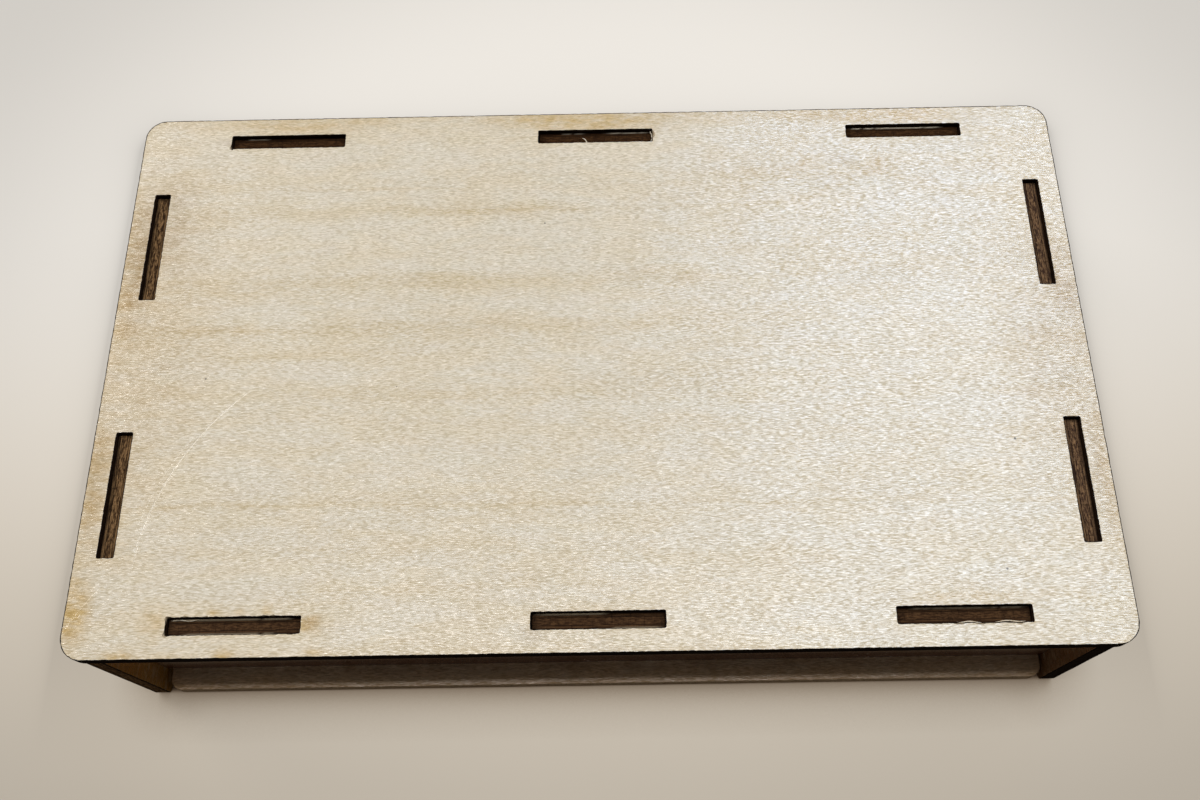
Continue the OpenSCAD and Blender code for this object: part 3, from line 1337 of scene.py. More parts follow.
@dataclass(frozen=True)
class PlyFinish:
    """Birch three-ply as it comes off the laser, with no varnish."""

    pale: Colour = srgb(223, 214, 195)
    warm: Colour = srgb(223, 211, 187)
    tan: Colour = srgb(204, 184, 144)
    toasted: Colour = srgb(228, 203, 146)
    # Soot grey, also the colour of the painted shade on the hinged panel
    grimed_and_shaded: Colour = srgb(200, 190, 182)
    # The colour of the painted shade on the front wall's outer face
    painted_shade_colour: Colour = srgb(92, 56, 34)
    char: Colour = srgb(20, 11, 6)
    cut: Colour = srgb(26, 15, 9)
    cut_light: Colour = srgb(52, 36, 22)
    raw: Colour = srgb(206, 188, 158)
    scratched: Colour = srgb(246, 236, 216)
    hue_drift: Colour = (0.03, 0.024, 0.03)
    light_share: Colour = (1.0, 1.05, 1.25)
    light_middle: Colour = (0.985, 0.988, 0.985)
    shine: float = 0.30
    silver: float = 1.0
    ior: float = 1.5
    coat_ior: float = 1.75
    coat_rough: float = 0.22
    relief: float = 0.035
    cut_relief: float = 0.03
    rim_burn: float = 0.85
    face_burn: float = 1.0
    streaks: tuple[Streak, ...] = ()
    scratches: tuple[Scratch, ...] = ()
    specks: tuple[Speck, ...] = ()

    @staticmethod
    def start(name: str, stance: Stance, seed: int) -> tuple[bpy.types.Material, Sketch, Socket, Socket]:
        """Starts a material that reads the sheet's own axes.

        Args:
            name: The material's name.
            stance: How the sheet stands, so that the grain runs along its u.
            seed: Moves the grain, so that no two sheets show the same wood.

        Returns:
            The material, its sketch, the place in the sheet's own axes in millimetres, and
            that place moved into wood of the sheet's own.
        """
        material = bpy.data.materials.new(name)
        sketch = Sketch.on_blank(material)
        parts = sketch.split(sketch.place())
        own = sketch.join(*(parts[axis] for axis in stance.value))
        moved = sketch.vector("ADD", own, tuple(seed * far for far in WOOD_APART))
        return material, sketch, own, moved

    def face_material(self, name: str, stance: Stance, seed: int) -> bpy.types.Material:
        """The veneer of the faces, toasted and charred beside the cuts, and darkened by painted shade where
        marked.

        Args:
            name: The material's name.
            stance: How the sheet stands.
            seed: Picks the sheet's wood.

        Returns:
            The material.
        """
        material, sketch, own, moved = self.start(name, stance, seed)
        grain = VeneerGrain().place(sketch, vector=moved)
        held = {mark.value: sketch.mark(mark) for mark in (Mark.RIM, Mark.SINGE, Mark.TOAST, Mark.GRIME)}
        scorch = Scorch().place(sketch, vector=moved, **held)
        face, marks = self.face_colour(sketch, own, grain)
        face = sketch.veil(scorch["Toast"], face, self.toasted)
        # The grime is soot, and painted shade along the foot of the front wall
        face = sketch.veil(scorch["Grime"], face, self.grimed_and_shaded)
        # Painted shade over the front wall's lower outer face, which lies under the panel's overhang
        face = sketch.veil(sketch.mark(Mark.SMOKE), face, self.painted_shade_colour)
        colour = sketch.mix(sketch.times(scorch["Char"], self.face_burn), face, self.char)
        wood = sketch.minus(grain["Fleck"], sketch.times(grain["Pore"], 0.25))
        normal = sketch.bump(sketch.plus(wood, sketch.times(marks, -1.5)), 1.0, self.relief)
        gloss = sketch.span(grain["Fleck"], 0.3, 0.7, self.shine + 0.08, self.shine - 0.05)
        silver = sketch.times(sketch.span(grain["Spark"], 0.48, 0.6, 0.0, self.silver),
                              sketch.minus(1.0, scorch["Char"]))
        sketch.end(sketch.node("ShaderNodeBsdfPrincipled", {
            "Base Color": colour, "Roughness": sketch.blend(scorch["Char"], gloss, 0.8),
            "Normal": normal, "IOR": self.ior,
            "Specular IOR Level": sketch.span(grain["Fleck"], 0.35, 0.65, 0.25, 0.8),
            "Coat Weight": silver, "Coat Roughness": self.coat_rough, "Coat IOR": self.coat_ior,
            "Coat Normal": normal}))
        return material

    def cut_material(self, name: str, stance: Stance, seed: int) -> bpy.types.Material:
        """The burnt edge: grain of the three plies under char, with raw fibre where it broke.

        Args:
            name: The material's name.
            stance: How the sheet stands.
            seed: Picks the sheet's wood.

        Returns:
            The material.
        """
        material, sketch, _, moved = self.start(name, stance, seed)
        rim = sketch.mark(Mark.RIM)
        cut = CutWood().place(sketch, vector=moved, depth=sketch.times(rim, -1.0))
        colour = sketch.mix(sketch.span(cut["Grain"], 0.38, 0.66), self.cut, self.cut_light)
        # The soot mark is char, and painted shade on the front edges
        for burnt in (sketch.times(cut["Glue"], 0.75), sketch.span(cut["Scour"], 0.5, 0.8, 0.0, 0.6),
                      sketch.span(rim, -0.5, -0.05, 0.0, self.rim_burn), sketch.mark(Mark.SOOT)):
            colour = sketch.mix(burnt, colour, self.char)
        colour = sketch.mix(sketch.mark(Mark.RAW), colour, self.raw)
        height = sketch.plus(sketch.times(cut["Grain"], 1.2), cut["Scour"])
        sketch.end(sketch.node("ShaderNodeBsdfPrincipled", {
            "Base Color": colour, "Roughness": sketch.span(cut["Grain"], 0.3, 0.7, 0.95, 0.8),
            "Normal": sketch.bump(height, 0.5, self.cut_relief), "IOR": self.ior,
            "Specular IOR Level": 0.05}))
        return material

    def splinter_material(self, name: str) -> bpy.types.Material:
        """Raw fibre, browner in places where the beam caught it.

        Args:
            name: The material's name.

        Returns:
            The material.
        """
        material, sketch, own, _ = self.start(name, Stance.FLAT, 0)
        fibre = sketch.noise(own, (0.8, 5.0, 5.0), 2.0)
        singed = sketch.span(sketch.noise(own, (0.7, 1.5, 1.5), 2.0), 0.55, 0.75, 0.0, 0.7)
        colour = sketch.mix(sketch.span(fibre, 0.35, 0.65), self.raw, self.scratched)
        sketch.end(sketch.node("ShaderNodeBsdfPrincipled", {
            "Base Color": sketch.mix(singed, colour, self.cut_light),
            "Roughness": sketch.span(fibre, 0.3, 0.7, 0.7, 0.5),
            "Normal": sketch.bump(fibre, 0.5, self.cut_relief)}))
        return material

    def face_colour(self, sketch: Sketch, own: Socket,
                    grain: dict[str, Socket]) -> tuple[Socket, Socket | float]:
        """The veneer's colour before the laser touched it.

        Tan lies in bands, lines and known streaks. Flecks and silk lighten and darken it all,
        and a slow drift of hue keeps it from being one colour.

        Args:
            sketch: The material's tree.
            own: The place in the sheet's own axes.
            grain: The outputs of the grain.

        Returns:
            The colour, and a mask of the scratches, which are cut into the wood.
        """
        fleck, tint, cloud = grain["Fleck"], grain["Tint"], grain["Cloud"]
        tan = sketch.plus(sketch.span(grain["Band"], 0.42, 0.72, 0.0, 0.21),
                          sketch.span(grain["Line"], 0.55, 0.8, 0.0, 0.08))
        u, v, w = sketch.split(own)
        bent = sketch.join(u, sketch.sum("MULTIPLY_ADD", sketch.minus(cloud, 0.5), 3.0, v), w)
        for streak in self.streaks:
            tan = sketch.sum("MULTIPLY_ADD", streak.mask(sketch, bent), streak.strength, tan)
        tan = sketch.times(tan, sketch.span(grain["Blotch"], 0.3, 0.7, 0.6, 1.35))
        tan = sketch.plus(tan, sketch.span(tint, 0.3, 0.7, -0.01, 0.045))
        tan = sketch.plus(tan, sketch.span(fleck, 0.3, 0.7, 0.24, -0.18))
        clean = sketch.mix(sketch.span(tint, 0.38, 0.62), self.pale, self.warm)
        colour = sketch.mix(sketch.sum("MAXIMUM", tan, 0.0, clamp=True), clean, self.tan)
        soft = sketch.plus(sketch.span(cloud, 0.3, 0.7, -0.012, 0.012),
                           sketch.span(grain["Silk"], 0.3, 0.7, -0.01, 0.01))
        light = sketch.plus(sketch.span(fleck, 0.25, 0.75, -0.135, 0.115), soft)
        light = sketch.plus(light, sketch.span(grain["Spark"], 0.52, 0.72, -0.035, 0.23))
        light = sketch.minus(light, sketch.times(grain["Pore"], 0.09))
        gain = sketch.vector("MULTIPLY_ADD", light, self.light_share, self.light_middle)
        drift = sketch.vector("MULTIPLY_ADD", grain["Hue"], self.hue_drift, gain)
        colour = sketch.mix(1.0, colour, drift, "MULTIPLY")
        for speck in self.specks:
            colour = sketch.mix(speck.mask(sketch, u, v), colour, self.char)
        masks = [scratch.mask(sketch, own) for scratch in self.scratches]
        if not masks:
            return colour, 0.0
        marks = masks[0]
        for mask in masks[1:]:
            marks = sketch.sum("MAXIMUM", marks, mask)
        return sketch.mix(marks, colour, self.scratched), marks


# Small pieces


@dataclass(frozen=True)
class Sliver:
    """A thread of veneer between two places in the slotted panel's plane."""

    start: tuple[float, float]
    end: tuple[float, float]
    radius: float


@dataclass(frozen=True)
class Splinters:
    """Slivers of face veneer that hang on at the slots. Each is a thin rod, pointed at both ends."""

    name: str = "slot_splinters"
    slivers: tuple[Sliver, ...] = (
        Sliver((-1.3, 51.4), (-2.9, 53.0), 0.1), Sliver((12.45, 51.7), (12.6, 53.3), 0.18),
        Sliver((12.6, 52.9), (12.3, 54.3), 0.14), Sliver((-80.3, 51.7), (-79.2, 51.6), 0.1),
        Sliver((66.5, -54.3), (71.0, -54.42), 0.1), Sliver((73.5, -54.35), (79.2, -54.3), 0.12),
        Sliver((-79.8, -51.9), (-74.6, -51.72), 0.07),
    )
    level: float = 41.0
    sag: float = 0.25
    sway: float = 0.12
    flatness: float = 0.6
    point: float = 0.04
    stations: int = 22
    sides: int = 7

    def build(self, finish: PlyFinish) -> bpy.types.Object:
        """Carries a ring along each sliver.

        A place is start + way * t + bow(t) + radius * taper(t) * ring(angle), with t from 0
        to 1. The bow dips by sag in the middle and sways to the sides, and the taper is
        1 - |2t - 1|^3, lifted so that it ends at point and not at 0.

        Args:
            finish: The finish of the sheet that the slivers broke from.

        Returns:
            The piece, riding on the walled body.
        """
        t = np.linspace(0.0, 1.0, self.stations)[:, None, None]
        taper = self.point + (1 - self.point) * (1 - np.abs(2 * t - 1) ** 3)
        turn = np.linspace(0, 2 * np.pi, self.sides, endpoint=False)
        quads = tube_quads(self.stations, self.sides)
        first, places = np.arange(self.sides), self.stations * self.sides
        caps = np.stack([first[::-1], places - self.sides + first])
        points, faces, ends = [], [], []
        for number, sliver in enumerate(self.slivers):
            start = np.array((*sliver.start, self.level))
            way = np.array((*sliver.end, self.level)) - start
            along = way / np.linalg.norm(way)
            across = np.array((-along[1], along[0], 0.0))
            ring = np.cos(turn)[:, None] * across + np.sin(turn)[:, None] * (0.0, 0.0, self.flatness)
            dip = np.sin(np.pi * t) * (0.0, 0.0, -self.sag)
            bow = dip + self.sway * np.sin(2.3 * np.pi * t + number) * across
            points.append((start + way * t + bow + sliver.radius * taper * ring).reshape(-1, 3))
            faces.append(quads + number * places)
            ends.append(caps + number * places)
        piece = put_mesh(self.name, np.concatenate(points),
                         [np.concatenate(faces), np.concatenate(ends)], [True, False])
        piece.data.materials.append(finish.splinter_material("splinter"))
        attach(piece, Body.WALLED.value)
        LOG.info("%s: %d faces", piece.name, len(piece.data.polygons))
        return piece


@dataclass(frozen=True)
class SteelFinish:
    """Bright drawn steel wire, a little rubbed."""

    colour: Colour = srgb(168, 166, 162)
    dull: Colour = srgb(120, 114, 106)
    relief: float = 0.01

    def material(self) -> bpy.types.Material:
        """Drawn lines along the shank and small rubbed patches.

        Returns:
            The material.
        """
        material = bpy.data.materials.new("pin_steel")
        sketch = Sketch.on_blank(material)
        place = sketch.place()
        drawn = sketch.noise(place, (0.3, 14.0, 14.0), 2.0)
        patch = sketch.noise(place, (1.6, 1.6, 1.6), 3.0, 0.6)
        rough = sketch.plus(sketch.span(patch, 0.3, 0.7, 0.22, 0.42),
                            sketch.span(drawn, 0.3, 0.7, -0.04, 0.06))
        sketch.end(sketch.node("ShaderNodeBsdfPrincipled", {
            "Base Color": sketch.mix(sketch.span(patch, 0.4, 0.7), self.colour, self.dull),
            "Metallic": 1.0, "Roughness": rough, "Normal": sketch.bump(drawn, 0.3, self.relief)}))
        return material


@dataclass(frozen=True)
class HingePin:
    """A steel pin: a low domed head outside the side wall and a plain shank into the panel."""

    node: str
    side: int
    shank: float = 0.75
    head: float = 1.4
    dome: float = 0.6
    edge: float = 0.03
    fillet: float = 0.08
    long: float = 12.0
    ring_at: float = 3.5
    tip: float = 0.25
    sides: int = 40
    dome_steps: int = 9

    def profile(self) -> np.ndarray:
        """The line that is turned, as rows of the distance from the crown and the radius.

        The head is part of a ball whose radius is (head^2 + dome^2) / (2 * dome), with a blunt
        edge. A small fillet leads to the shank, whose tip is rounded off.

        Returns:
            The rows, without the two ends on the axis.
        """
        ball = (self.head ** 2 + self.dome ** 2) / (2 * self.dome)
        angles = np.linspace(0, math.asin((self.head - 2 * self.edge) / ball), self.dome_steps)[1:]
        dome = np.stack([ball * (1 - np.cos(angles)), ball * np.sin(angles)], 1)
        seat, end = self.dome, self.dome + self.long
        rest = np.array([(seat - self.edge, self.head), (seat, self.head - self.edge),
                         (seat, self.shank + self.fillet), (seat + self.fillet, self.shank),
                         (seat + self.ring_at, self.shank), (end - self.tip, self.shank),
                         (end - 0.2 * self.tip, self.shank - 0.64 * self.tip), (end, self.shank - self.tip)])
        return np.concatenate([dome, rest])

    def build(self, finish: SteelFinish) -> bpy.types.Object:
        """Turns the profile round the pin's axis: (along, radius * cos, radius * sin) of the turn.

        Args:
            finish: The finish of the wire.

        Returns:
            The piece, riding on the hinged body.
        """
        low, high = (np.array(corner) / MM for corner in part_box(self.node))
        middle = (low + high) / 2
        crown = high[0] if self.side > 0 else low[0]
        profile = self.profile()
        turn = np.linspace(0, 2 * np.pi, self.sides, endpoint=False)
        rings = np.stack([np.broadcast_to(crown - self.side * profile[:, :1], (len(profile), self.sides)),
                          middle[1] + profile[:, 1:] * np.cos(turn),
                          middle[2] + profile[:, 1:] * np.sin(turn)], 2).reshape(-1, 3)
        poles = np.array([(crown, *middle[1:]), (crown - self.side * profile[-1, 0], *middle[1:])])
        k = np.arange(self.sides)
        last = (len(profile) - 1) * self.sides
        first_fan = np.stack([np.full(self.sides, len(rings)), (k + 1) % self.sides, k], 1)
        last_fan = np.stack([np.full(self.sides, len(rings) + 1), last + k, last + (k + 1) % self.sides], 1)
        faces = [tube_quads(len(profile), self.sides), first_fan, last_fan]
        if self.side > 0:
            faces = [rows[:, ::-1] for rows in faces]
        piece = put_mesh(f"{self.node}_turned", np.concatenate([rings, poles]), faces, [True] * 3)
        piece.data.materials.append(finish.material())
        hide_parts(self.node)
        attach(piece, Body.HINGED.value)
        LOG.info("%s: %d faces", piece.name, len(piece.data.polygons))
        return piece


# The camera and the studio


@dataclass(frozen=True)
class PhotoCamera:
    """The photograph's camera, found from the panel's outline and the corners of its slots."""

    place: tuple[float, float, float] = (6.4, -99.1, 275.9)
    heading: float = -0.888
    down: float = 65.06
    roll: float = 1.82
    focal_px: float = 1250.0
    principal_px: tuple[float, float] = (619.1, 312.1)
    frame_px: tuple[int, int] = (1200, 800)
    sensor: float = 36.0
    near: float = 10.0

    def build(self) -> None:
        """Stands the camera: its turn is heading, then tilt, then roll."""
        camera = bpy.data.cameras.new("photo_camera")
        wide, high = self.frame_px
        camera.sensor_width = self.sensor
        camera.lens = self.focal_px / wide * self.sensor
        camera.shift_x = -(self.principal_px[0] - wide / 2) / wide
        camera.shift_y = (self.principal_px[1] - high / 2) / wide
        camera.clip_start = self.near * MM
        holder = bpy.data.objects.new("photo_camera", camera)
        turn = (Matrix.Rotation(-math.radians(self.heading), 4, "Z")
                @ Matrix.Rotation(math.radians(90 - self.down), 4, "X")
                @ Matrix.Rotation(-math.radians(self.roll), 4, "Z"))
        holder.matrix_world = Matrix.Translation([part * MM for part in self.place]) @ turn
        bpy.context.scene.collection.objects.link(holder)
        bpy.context.scene.camera = holder


@dataclass(frozen=True)
class SoftBox:
    """A rectangular lamp behind a diffuser, in metres and watts."""

    name: str
    place: tuple[float, float, float]
    wide: float
    deep: float
    power: float
    straight_down: bool = False
    colour: Colour = (1.0, 1.0, 1.0)

    def build(self) -> None:
        """Hangs the lamp, facing the box's middle or straight down."""
        light = bpy.data.lights.new(self.name, "AREA")
        light.shape, light.size, light.size_y, light.energy = "RECTANGLE", self.wide, self.deep, self.power
        light.color = self.colour
        lamp = bpy.data.objects.new(self.name, light)
        lamp.location = self.place
        if not self.straight_down:
            lamp.rotation_euler = (-Vector(self.place)).to_track_quat("-Z", "Y").to_euler()
        bpy.context.scene.collection.objects.link(lamp)


@dataclass(frozen=True)
class PaperFloor:
    """A flat square of pale paper under the box.

    The camera sees light and shade painted into its glow: a soft patch of light behind the box,
    a painted shadow along the box's sides and back, and painted shade darker still under it.
    The box sees only its bounce colour. Its half is in metres, and the places on it are millimetres.
    """

    half: float = 3.0
    back: Colour = srgb(238, 233, 225)
    front: Colour = srgb(241, 229, 211)
    bounce: Colour = srgb(88, 76, 62)
    glow: float = 0.84
    # A painted patch of light, dimmer towards the front
    pool_y: float = 33.0
    pool_half: tuple[float, float] = (141.0, 110.0)
    pool_edge: tuple[float, float] = (0.65, 1.45)
    pool_dim: float = 0.76
    near_y: tuple[float, float] = (-140.0, 40.0)
    near_dim: float = 0.65
    tone_y: tuple[float, float] = (-60.0, 60.0)
    # A painted shadow along the box's sides and back
    fringe_x: float = -1.4
    fringe_half: float = 110.3
    fringe_back: float = 77.0
    fringe_round: float = 8.0
    fringe_y: tuple[float, float] = (-75.0, -35.0)
    fringes: tuple[tuple[float, float], ...] = ((0.14, 0.9), (0.11, 0.22))
    # Painted shade under and beside the box
    box_half_x: tuple[float, float] = (94.5, 96.5)
    box_half_y: tuple[float, float] = (57.6, 59.2)
    under_dark: float = 0.75
    sky_reach: float = 11.0
    dusk: Colour = (1.4, 1.6, 1.8)

    def pool(self, sketch: Sketch, x: Socket, y: Socket) -> Socket:
        """The broad falloff: an oval pool of light, and a dimming towards the front.

        Args:
            sketch: The floor's material.
            x: The place along the box.
            y: The place towards the back.

        Returns:
            A share of the full light.
        """
        wide, deep = self.pool_half
        out_y = sketch.sum("DIVIDE", sketch.minus(y, self.pool_y), deep)
        away = sketch.vector("LENGTH", sketch.join(sketch.sum("DIVIDE", x, wide), out_y, 0.0))
        return sketch.times(sketch.span(away, *self.pool_edge, 1.0, self.pool_dim),
                            sketch.span(y, *self.near_y, self.near_dim, 1.0))

    def painted_fringe_shadow(self, sketch: Sketch, x: Socket, y: Socket) -> Socket:
        """A painted shadow along the box: strength * exp(-fall * d), one close and one wide.

        The distance d is measured out from a rounded rectangle round the box's sides and back.

        Args:
            sketch: The floor's material.
            x: The place along the box.
            y: The place towards the back.

        Returns:
            What is left of the light.
        """
        out_x = sketch.minus(sketch.sum("ABSOLUTE", sketch.minus(x, self.fringe_x)), self.fringe_half)
        out_y = sketch.minus(y, self.fringe_back)
        outer = sketch.join(sketch.sum("MAXIMUM", out_x, 0.0), sketch.sum("MAXIMUM", out_y, 0.0), 0.0)
        beyond = sketch.minus(sketch.vector("LENGTH", outer), self.fringe_round)
        beyond = sketch.sum("MAXIMUM", beyond, 0.0)
        close, wide = (sketch.times(sketch.sum("EXPONENT", sketch.times(beyond, -fall)), strength)
                       for strength, fall in self.fringes)
        shown = sketch.times(sketch.plus(close, wide), sketch.span(y, *self.fringe_y))
        return sketch.minus(1.0, shown)

    def sky(self, sketch: Sketch, x: Socket, y: Socket) -> Socket:
        """Painted shade from how much of the sky a place sees: less beside the box, hardly any under it.

        Args:
            sketch: The floor's material.
            x: The place along the box.
            y: The place towards the back.

        Returns:
            The light that is left, warmer where there is less.
        """
        seen = sketch.node("ShaderNodeAmbientOcclusion", {"Distance": self.sky_reach * MM}, samples=8)
        under = sketch.times(sketch.span(sketch.sum("ABSOLUTE", x), *self.box_half_x, 1.0, 0.0),
                             sketch.span(sketch.sum("ABSOLUTE", y), *self.box_half_y, 1.0, 0.0))
        left = sketch.times(seen.outputs["AO"], sketch.sum("MULTIPLY_ADD", under, -self.under_dark, 1.0))
        return sketch.join(*(sketch.sum("POWER", left, power) for power in self.dusk))

    def material(self) -> bpy.types.Material:
        """Paper that glows a little by itself, so that the camera sees it lit; the glow holds painted light
        and shade.

        Returns:
            The material.
        """
        material = bpy.data.materials.new("floor_paper")
        sketch = Sketch.on_blank(material)
        by_camera = sketch.node("ShaderNodeLightPath").outputs["Is Camera Ray"]
        x, y, _ = sketch.split(sketch.place())
        shade = sketch.times(self.pool(sketch, x, y), self.painted_fringe_shadow(sketch, x, y))
        paler = sketch.mix(sketch.span(y, *self.tone_y), self.front, self.back)
        tone = sketch.mix(1.0, paler, shade, "MULTIPLY")
        paper = sketch.node("ShaderNodeBsdfPrincipled", {
            "Base Color": sketch.mix(by_camera, self.bounce, tone), "Roughness": 0.9})
        glow = sketch.node("ShaderNodeEmission", {
            "Color": sketch.mix(1.0, tone, self.sky(sketch, x, y), "MULTIPLY"), "Strength": 1.0})
        sketch.end(sketch.node("ShaderNodeMixShader", {
            0: sketch.times(by_camera, self.glow), 1: paper.outputs[0], 2: glow.outputs[0]}))
        return material

    def build(self) -> None:
        """Lays the floor."""
        half = self.half / MM
        corners = np.array([(-half, -half, 0), (half, -half, 0), (half, half, 0), (-half, half, 0)], float)
        floor = put_mesh("floor", corners, [np.array([[0, 1, 2, 3]])], [False])
        floor.data.materials.append(self.material())


@dataclass(frozen=True)
class Studio:
    """A pale floor and soft light, most of it from high behind the box."""

    warm: Colour = (1.0, 0.945, 0.89)
    cool: Colour = (0.66, 0.82, 1.0)
    coldest: Colour = (0.3, 0.5, 1.0)
    world: Colour = (0.92, 0.88, 0.83)
    world_strength: float = 0.08
    backdrop: Colour = srgb(226, 220, 210)

    def build(self) -> None:
        """Makes the floor, the six lamps and the world."""
        PaperFloor().build()
        for lamp in (SoftBox("window", (0.50, 0.66, 1.5), 0.66, 1.34, 8.2, True, self.cool),
                     SoftBox("window_top", (0.44, 1.0, 1.49), 0.54, 0.4, 1.7, True, self.coldest),
                     SoftBox("back_left", (-1.55, 1.1, 1.5), 0.9, 0.9, 31.0, colour=self.warm),
                     SoftBox("back_right", (1.3, 0.7, 1.3), 0.9, 0.9, 12.5, colour=self.warm),
                     SoftBox("front_fill", (0.1, -1.7, 0.1), 1.0, 0.4, 3.2, colour=self.warm),
                     SoftBox("front_strip", (-0.02, -0.076, 1.2), 0.7, 0.058, 2.8, True, self.warm)):
            lamp.build()
        world = bpy.data.worlds.new("studio")
        sketch = Sketch.on_blank(world)
        by_camera = sketch.node("ShaderNodeLightPath").outputs["Is Camera Ray"]
        lit = sketch.node("ShaderNodeBackground", {"Color": self.world, "Strength": self.world_strength})
        shown = sketch.node("ShaderNodeBackground", {"Color": self.backdrop, "Strength": 1.0})
        both = sketch.node("ShaderNodeMixShader", {0: by_camera, 1: lit.outputs[0], 2: shown.outputs[0]})
        sketch.node("ShaderNodeOutputWorld", {"Surface": both.outputs[0]})
        bpy.context.scene.world = world


# The whole box


TOP_FINISH = PlyFinish(
    streaks=(
        Streak(40.4, 0.35, 0.22, start=-96, end=-20),
        Streak(34.8, 2.0, 0.26, start=-100, end=-2),
        Streak(34.6, 0.65, 0.3, start=-40, end=104, hump=7.6, hump_at=61, hump_half=13),
        Streak(36.2, 2.4, 0.1, start=-40, end=104, hump=7.6, hump_at=61, hump_half=13),
        Streak(40.5, 0.8, 0.17, slope=0.03, start=-10, end=56),
        Streak(16.5, 2.6, 0.22, start=-100, end=34),
        Streak(7.4, 1.6, 0.22, start=-100, end=26),
        Streak(1.2, 1.0, 0.2, start=-92, end=-30),
        Streak(-7.3, 1.9, 0.22, start=-100, end=14),
        Streak(1.6, 0.3, 0.3, start=14, end=104),
        Streak(-16.6, 0.3, 0.22, start=26, end=90),
        Streak(-30.8, 0.6, 0.32, start=-96, end=104, slope=-0.006),
        Streak(-30.0, 3.0, 0.12, start=-96, end=0),
        Streak(-46.2, 1.0, 0.17, start=-60, end=10),
    ),
    scratches=(
        Scratch((-36.8, -46.6), 52.2, -41.0, -5.0, 0.85, 0.15),
        Scratch((-37.0, -46.0), 51.6, -44.0, -24.0, 0.6, 0.1),
        Scratch((-36.0, -47.6), 54.4, -36.0, -14.0, 0.35, 0.07),
        Scratch((-60.0, -75.0), 45.0, -56.0, -44.0, 0.4),
    ),
    specks=(
        Speck(-79.3, -3.4, 0.28, 0.75), Speck(-10.9, 31.2, 0.25, 0.7), Speck(-40.4, -5.8, 0.2, 0.5),
        Speck(82.2, -19.0, 0.35, 0.8), Speck(77.0, -44.7, 0.3, 0.7),
    ),
)
WALL_FINISH = PlyFinish(pale=srgb(214, 204, 182), warm=srgb(220, 202, 172), tan=srgb(198, 170, 126))


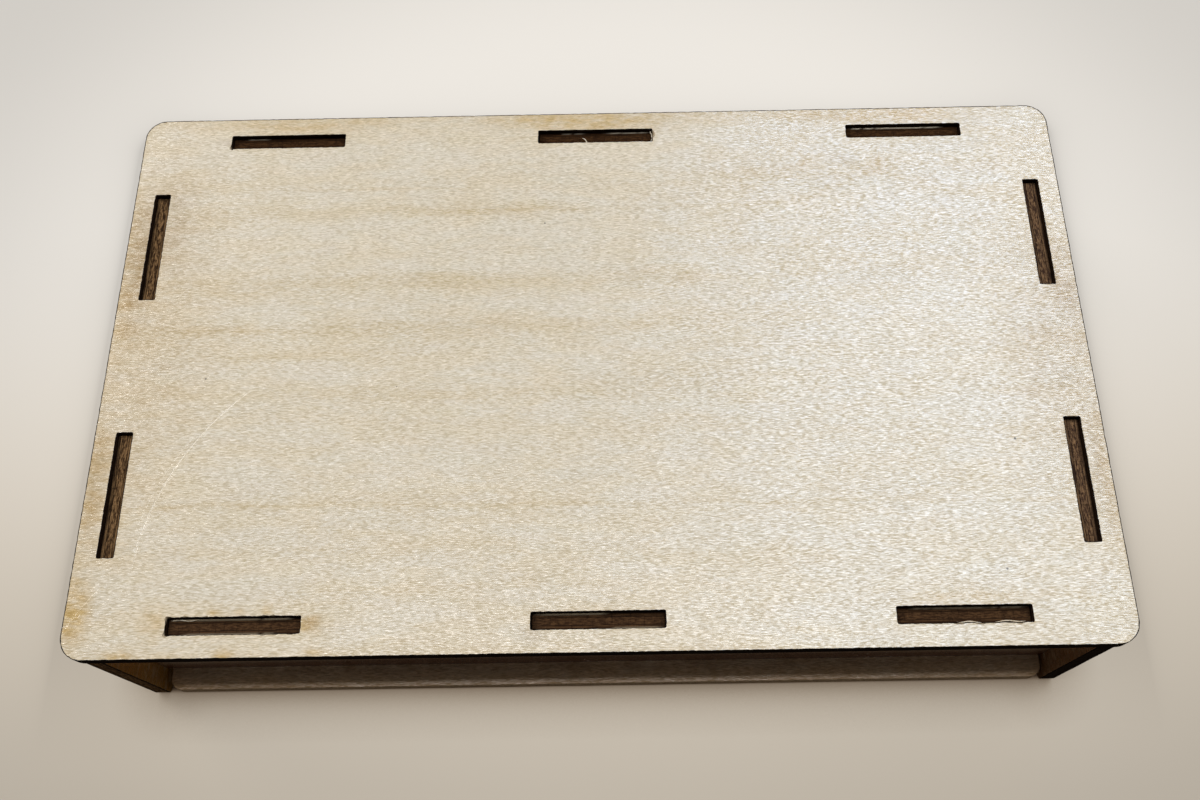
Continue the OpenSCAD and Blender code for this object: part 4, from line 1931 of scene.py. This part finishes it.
@dataclass
class PlywoodBox:
    """The whole box: its six sheets, the splinters at their slots and its two pins."""

    top: PlyFinish = TOP_FINISH
    # The hinged panel's pale cut colours are painted light, which lifts its shaded front edge
    plain: PlyFinish = PlyFinish(
        pale=srgb(214, 190, 160), warm=srgb(216, 186, 150), tan=srgb(194, 158, 112),
        cut=srgb(152, 130, 102), cut_light=srgb(178, 154, 124), rim_burn=0.1, face_burn=0.3)
    front: PlyFinish = replace(WALL_FINISH, toasted=srgb(206, 156, 116),
                               cut=srgb(52, 35, 22), cut_light=srgb(84, 60, 38))
    back: PlyFinish = replace(WALL_FINISH, toasted=srgb(206, 160, 122), raw=srgb(240, 226, 200),
                              cut=srgb(43, 26, 13), cut_light=srgb(70, 47, 25))
    left: PlyFinish = replace(WALL_FINISH, toasted=srgb(206, 160, 84),
                              cut=srgb(52, 36, 22), cut_light=srgb(140, 108, 72))
    right: PlyFinish = replace(WALL_FINISH, toasted=srgb(160, 120, 84),
                               cut=srgb(56, 40, 32), cut_light=srgb(134, 104, 74))

    def sheets(self) -> tuple[PlySheet, ...]:
        """The six sheets, each with its own wood, stains and broken fibres.

        Returns:
            The sheets, the two panels first.
        """
        return (
            SlottedPanel("slotted_panel", Body.WALLED, Slot.PANEL, Stance.FLAT, 1, self.top,
                         stains=self.top_stains(), chips=self.top_chips()),
            HingedPanel("hinged_panel", Body.HINGED, Slot.PANEL, Stance.FLAT, 2, self.plain,
                        # Painted shade: a grey strip on the ledge along the foot of the front wall, under the
                        # panel's overhang
                        stains=(Stain(0, -55.0, 140, 1.9, 0.8, mark=Mark.GRIME),)),
            LongWall("front_wall", Body.WALLED, Slot.WALL, Stance.ACROSS, 3, self.front,
                     # Painted shade over the lower outer face, under the panel's overhang: the smoke mark,
                     # and the toast stain below it
                     stains=(Stain(0, 4.0, 170, 12.0, 1.2, False, Mark.SMOKE),
                             Stain(0, 6.0, 150, 9.0, 0.3, False)),
                     fibres=(Fibre(-80, -57, 0.6, True), Fibre(-12, 2, 0.5, True), Fibre(2, 12, 0.35, False),
                             Fibre(58, 80, 0.3, True), Fibre(-78, -60, 0.3, False))),
            LongWall("back_wall", Body.WALLED, Slot.WALL, Stance.ACROSS, 4, self.back,
                     stains=(Stain(0, 42, 120, 12, 0.5),),
                     fibres=(Fibre(56.5, 77, 1.0, True), Fibre(2, 12, 0.6, True), Fibre(-78, -72, 0.3, True),
                             Fibre(-8, -2, 0.3, True))),
            # Over the front end of each side wall's inner face the colour turns darker and more orange-brown
            SideWall("left_wall", Body.WALLED, Slot.WALL, Stance.ENDWAYS, 5, self.left,
                     # The black on each side wall's front edge is char and painted shade
                     stains=(Stain(-57, 18, 12, 34, 1.2),), front_soot_and_shade=0.1),
            SideWall("right_wall", Body.WALLED, Slot.WALL, Stance.ENDWAYS, 6, self.right,
                     stains=(Stain(-57, 18, 12, 34, 1.2, False),), front_soot_and_shade=0.95),
        )

    def build(self) -> None:
        """Builds the sheets, the splinters and the pins in turn."""
        for sheet in self.sheets():
            sheet.build()
        Splinters().build(self.top)
        steel = SteelFinish()
        HingePin("left_hinge_pin", -1).build(steel)
        HingePin("right_hinge_pin", 1).build(steel)

    @staticmethod
    def top_chips() -> tuple[Chip, ...]:
        """Where the upper veneer broke out beside a slot: single bites, and rows along an edge.

        Returns:
            The chips: the single ones at known places, and those of the rows at random.
        """
        single = (Chip(12.5, 53.2, 0.9, 0.7), Chip(-80.5, -51.6, 0.8, 0.25), Chip(-80.4, 51.6, 0.6, 0.35),
                  Chip(-80.4, -54.4, 0.5, 0.3))
        torn = ((62.0, 80.0, -54.53, 16), (-66.0, -56.0, -54.53, 6), (-79.0, -60.0, -51.47, 7))
        rng = np.random.default_rng(7)
        rows = []
        for start, end, v, bites in torn:
            rows += [Chip(u, v, rng.uniform(0.25, 0.7), rng.uniform(0.08, 0.3), 0.3)
                     for u in rng.uniform(start, end, bites)]
        return (*single, *rows)

    @staticmethod
    def top_stains() -> tuple[Stain, ...]:
        """Where the smoke toasted the slotted panel's upper face, and where its soot lies.

        Returns:
            The stains, back edge first, then the sides, the slots' ends and the broad patches.
        """
        toast = (
            (0, 57.0, 24, 2.2, 0.75), (60, 57.2, 24, 2.0, 0.5), (-64, 57.2, 22, 2.0, 0.45),
            (-98.2, 22, 2.6, 19, 0.42), (-98.2, -27, 2.2, 15, 0.42), (-98.2, -50, 2.8, 6.5, 0.85),
            (-83.0, -53, 2.0, 4, 0.45), (-53.5, -53, 2.4, 1.6, 1.0), (97.0, 17, 2.6, 11, 0.22),
            (98.6, -27, 1.6, 14, 0.5), (68, -49.8, 14, 1.4, 0.3), (-88.8, -58.2, 2.4, 0.9, 0.8),
            (-69.2, -58.2, 2.2, 0.9, 0.7), (-52.9, -58.3, 2.0, 0.8, 0.6), (-72.0, -50.6, 1.3, 0.6, 0.8),
            (-66.9, -50.7, 1.1, 0.6, 0.8), (-61.9, -50.4, 1.0, 0.6, 0.6), (61.0, 44.2, 2.4, 1.7, 0.6),
            (45.8, 44.6, 2.0, 1.4, 0.4), (38.0, 43.6, 9, 1.6, 0.25), (-94, 4, 16, 50, 0.24),
            (94, 0, 13, 26, 0.16),
        )
        grime = (
            (-96.8, 22, 3.2, 15, 0.4), (-98.0, -26, 2.0, 13, 0.25), (-53.2, -52.8, 1.5, 1.2, 0.7),
            (-12.6, -55.6, 2.2, 1.2, 0.35), (54.0, 44.6, 3.0, 1.2, 0.35), (-92.0, 32, 8, 12, 0.3),
            (97.5, 17, 2.4, 10, 0.3), (98.0, -27, 2.0, 13, 0.3), (-81.4, 53.0, 0.8, 1.0, 0.5),
            (95, -1, 12, 26, 0.26), (-96, 0, 14, 46, 0.14),
        )
        return (*(Stain(*row) for row in toast), *(Stain(*row, mark=Mark.GRIME) for row in grime))


def main() -> None:
    """Builds the camera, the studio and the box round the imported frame."""
    logging.basicConfig(level=logging.INFO, format="%(name)s %(message)s")
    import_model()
    bpy.context.scene.view_settings.view_transform = "Standard"
    PhotoCamera().build()
    Studio().build()
    PlywoodBox().build()


if __name__ == "__main__":
    main()
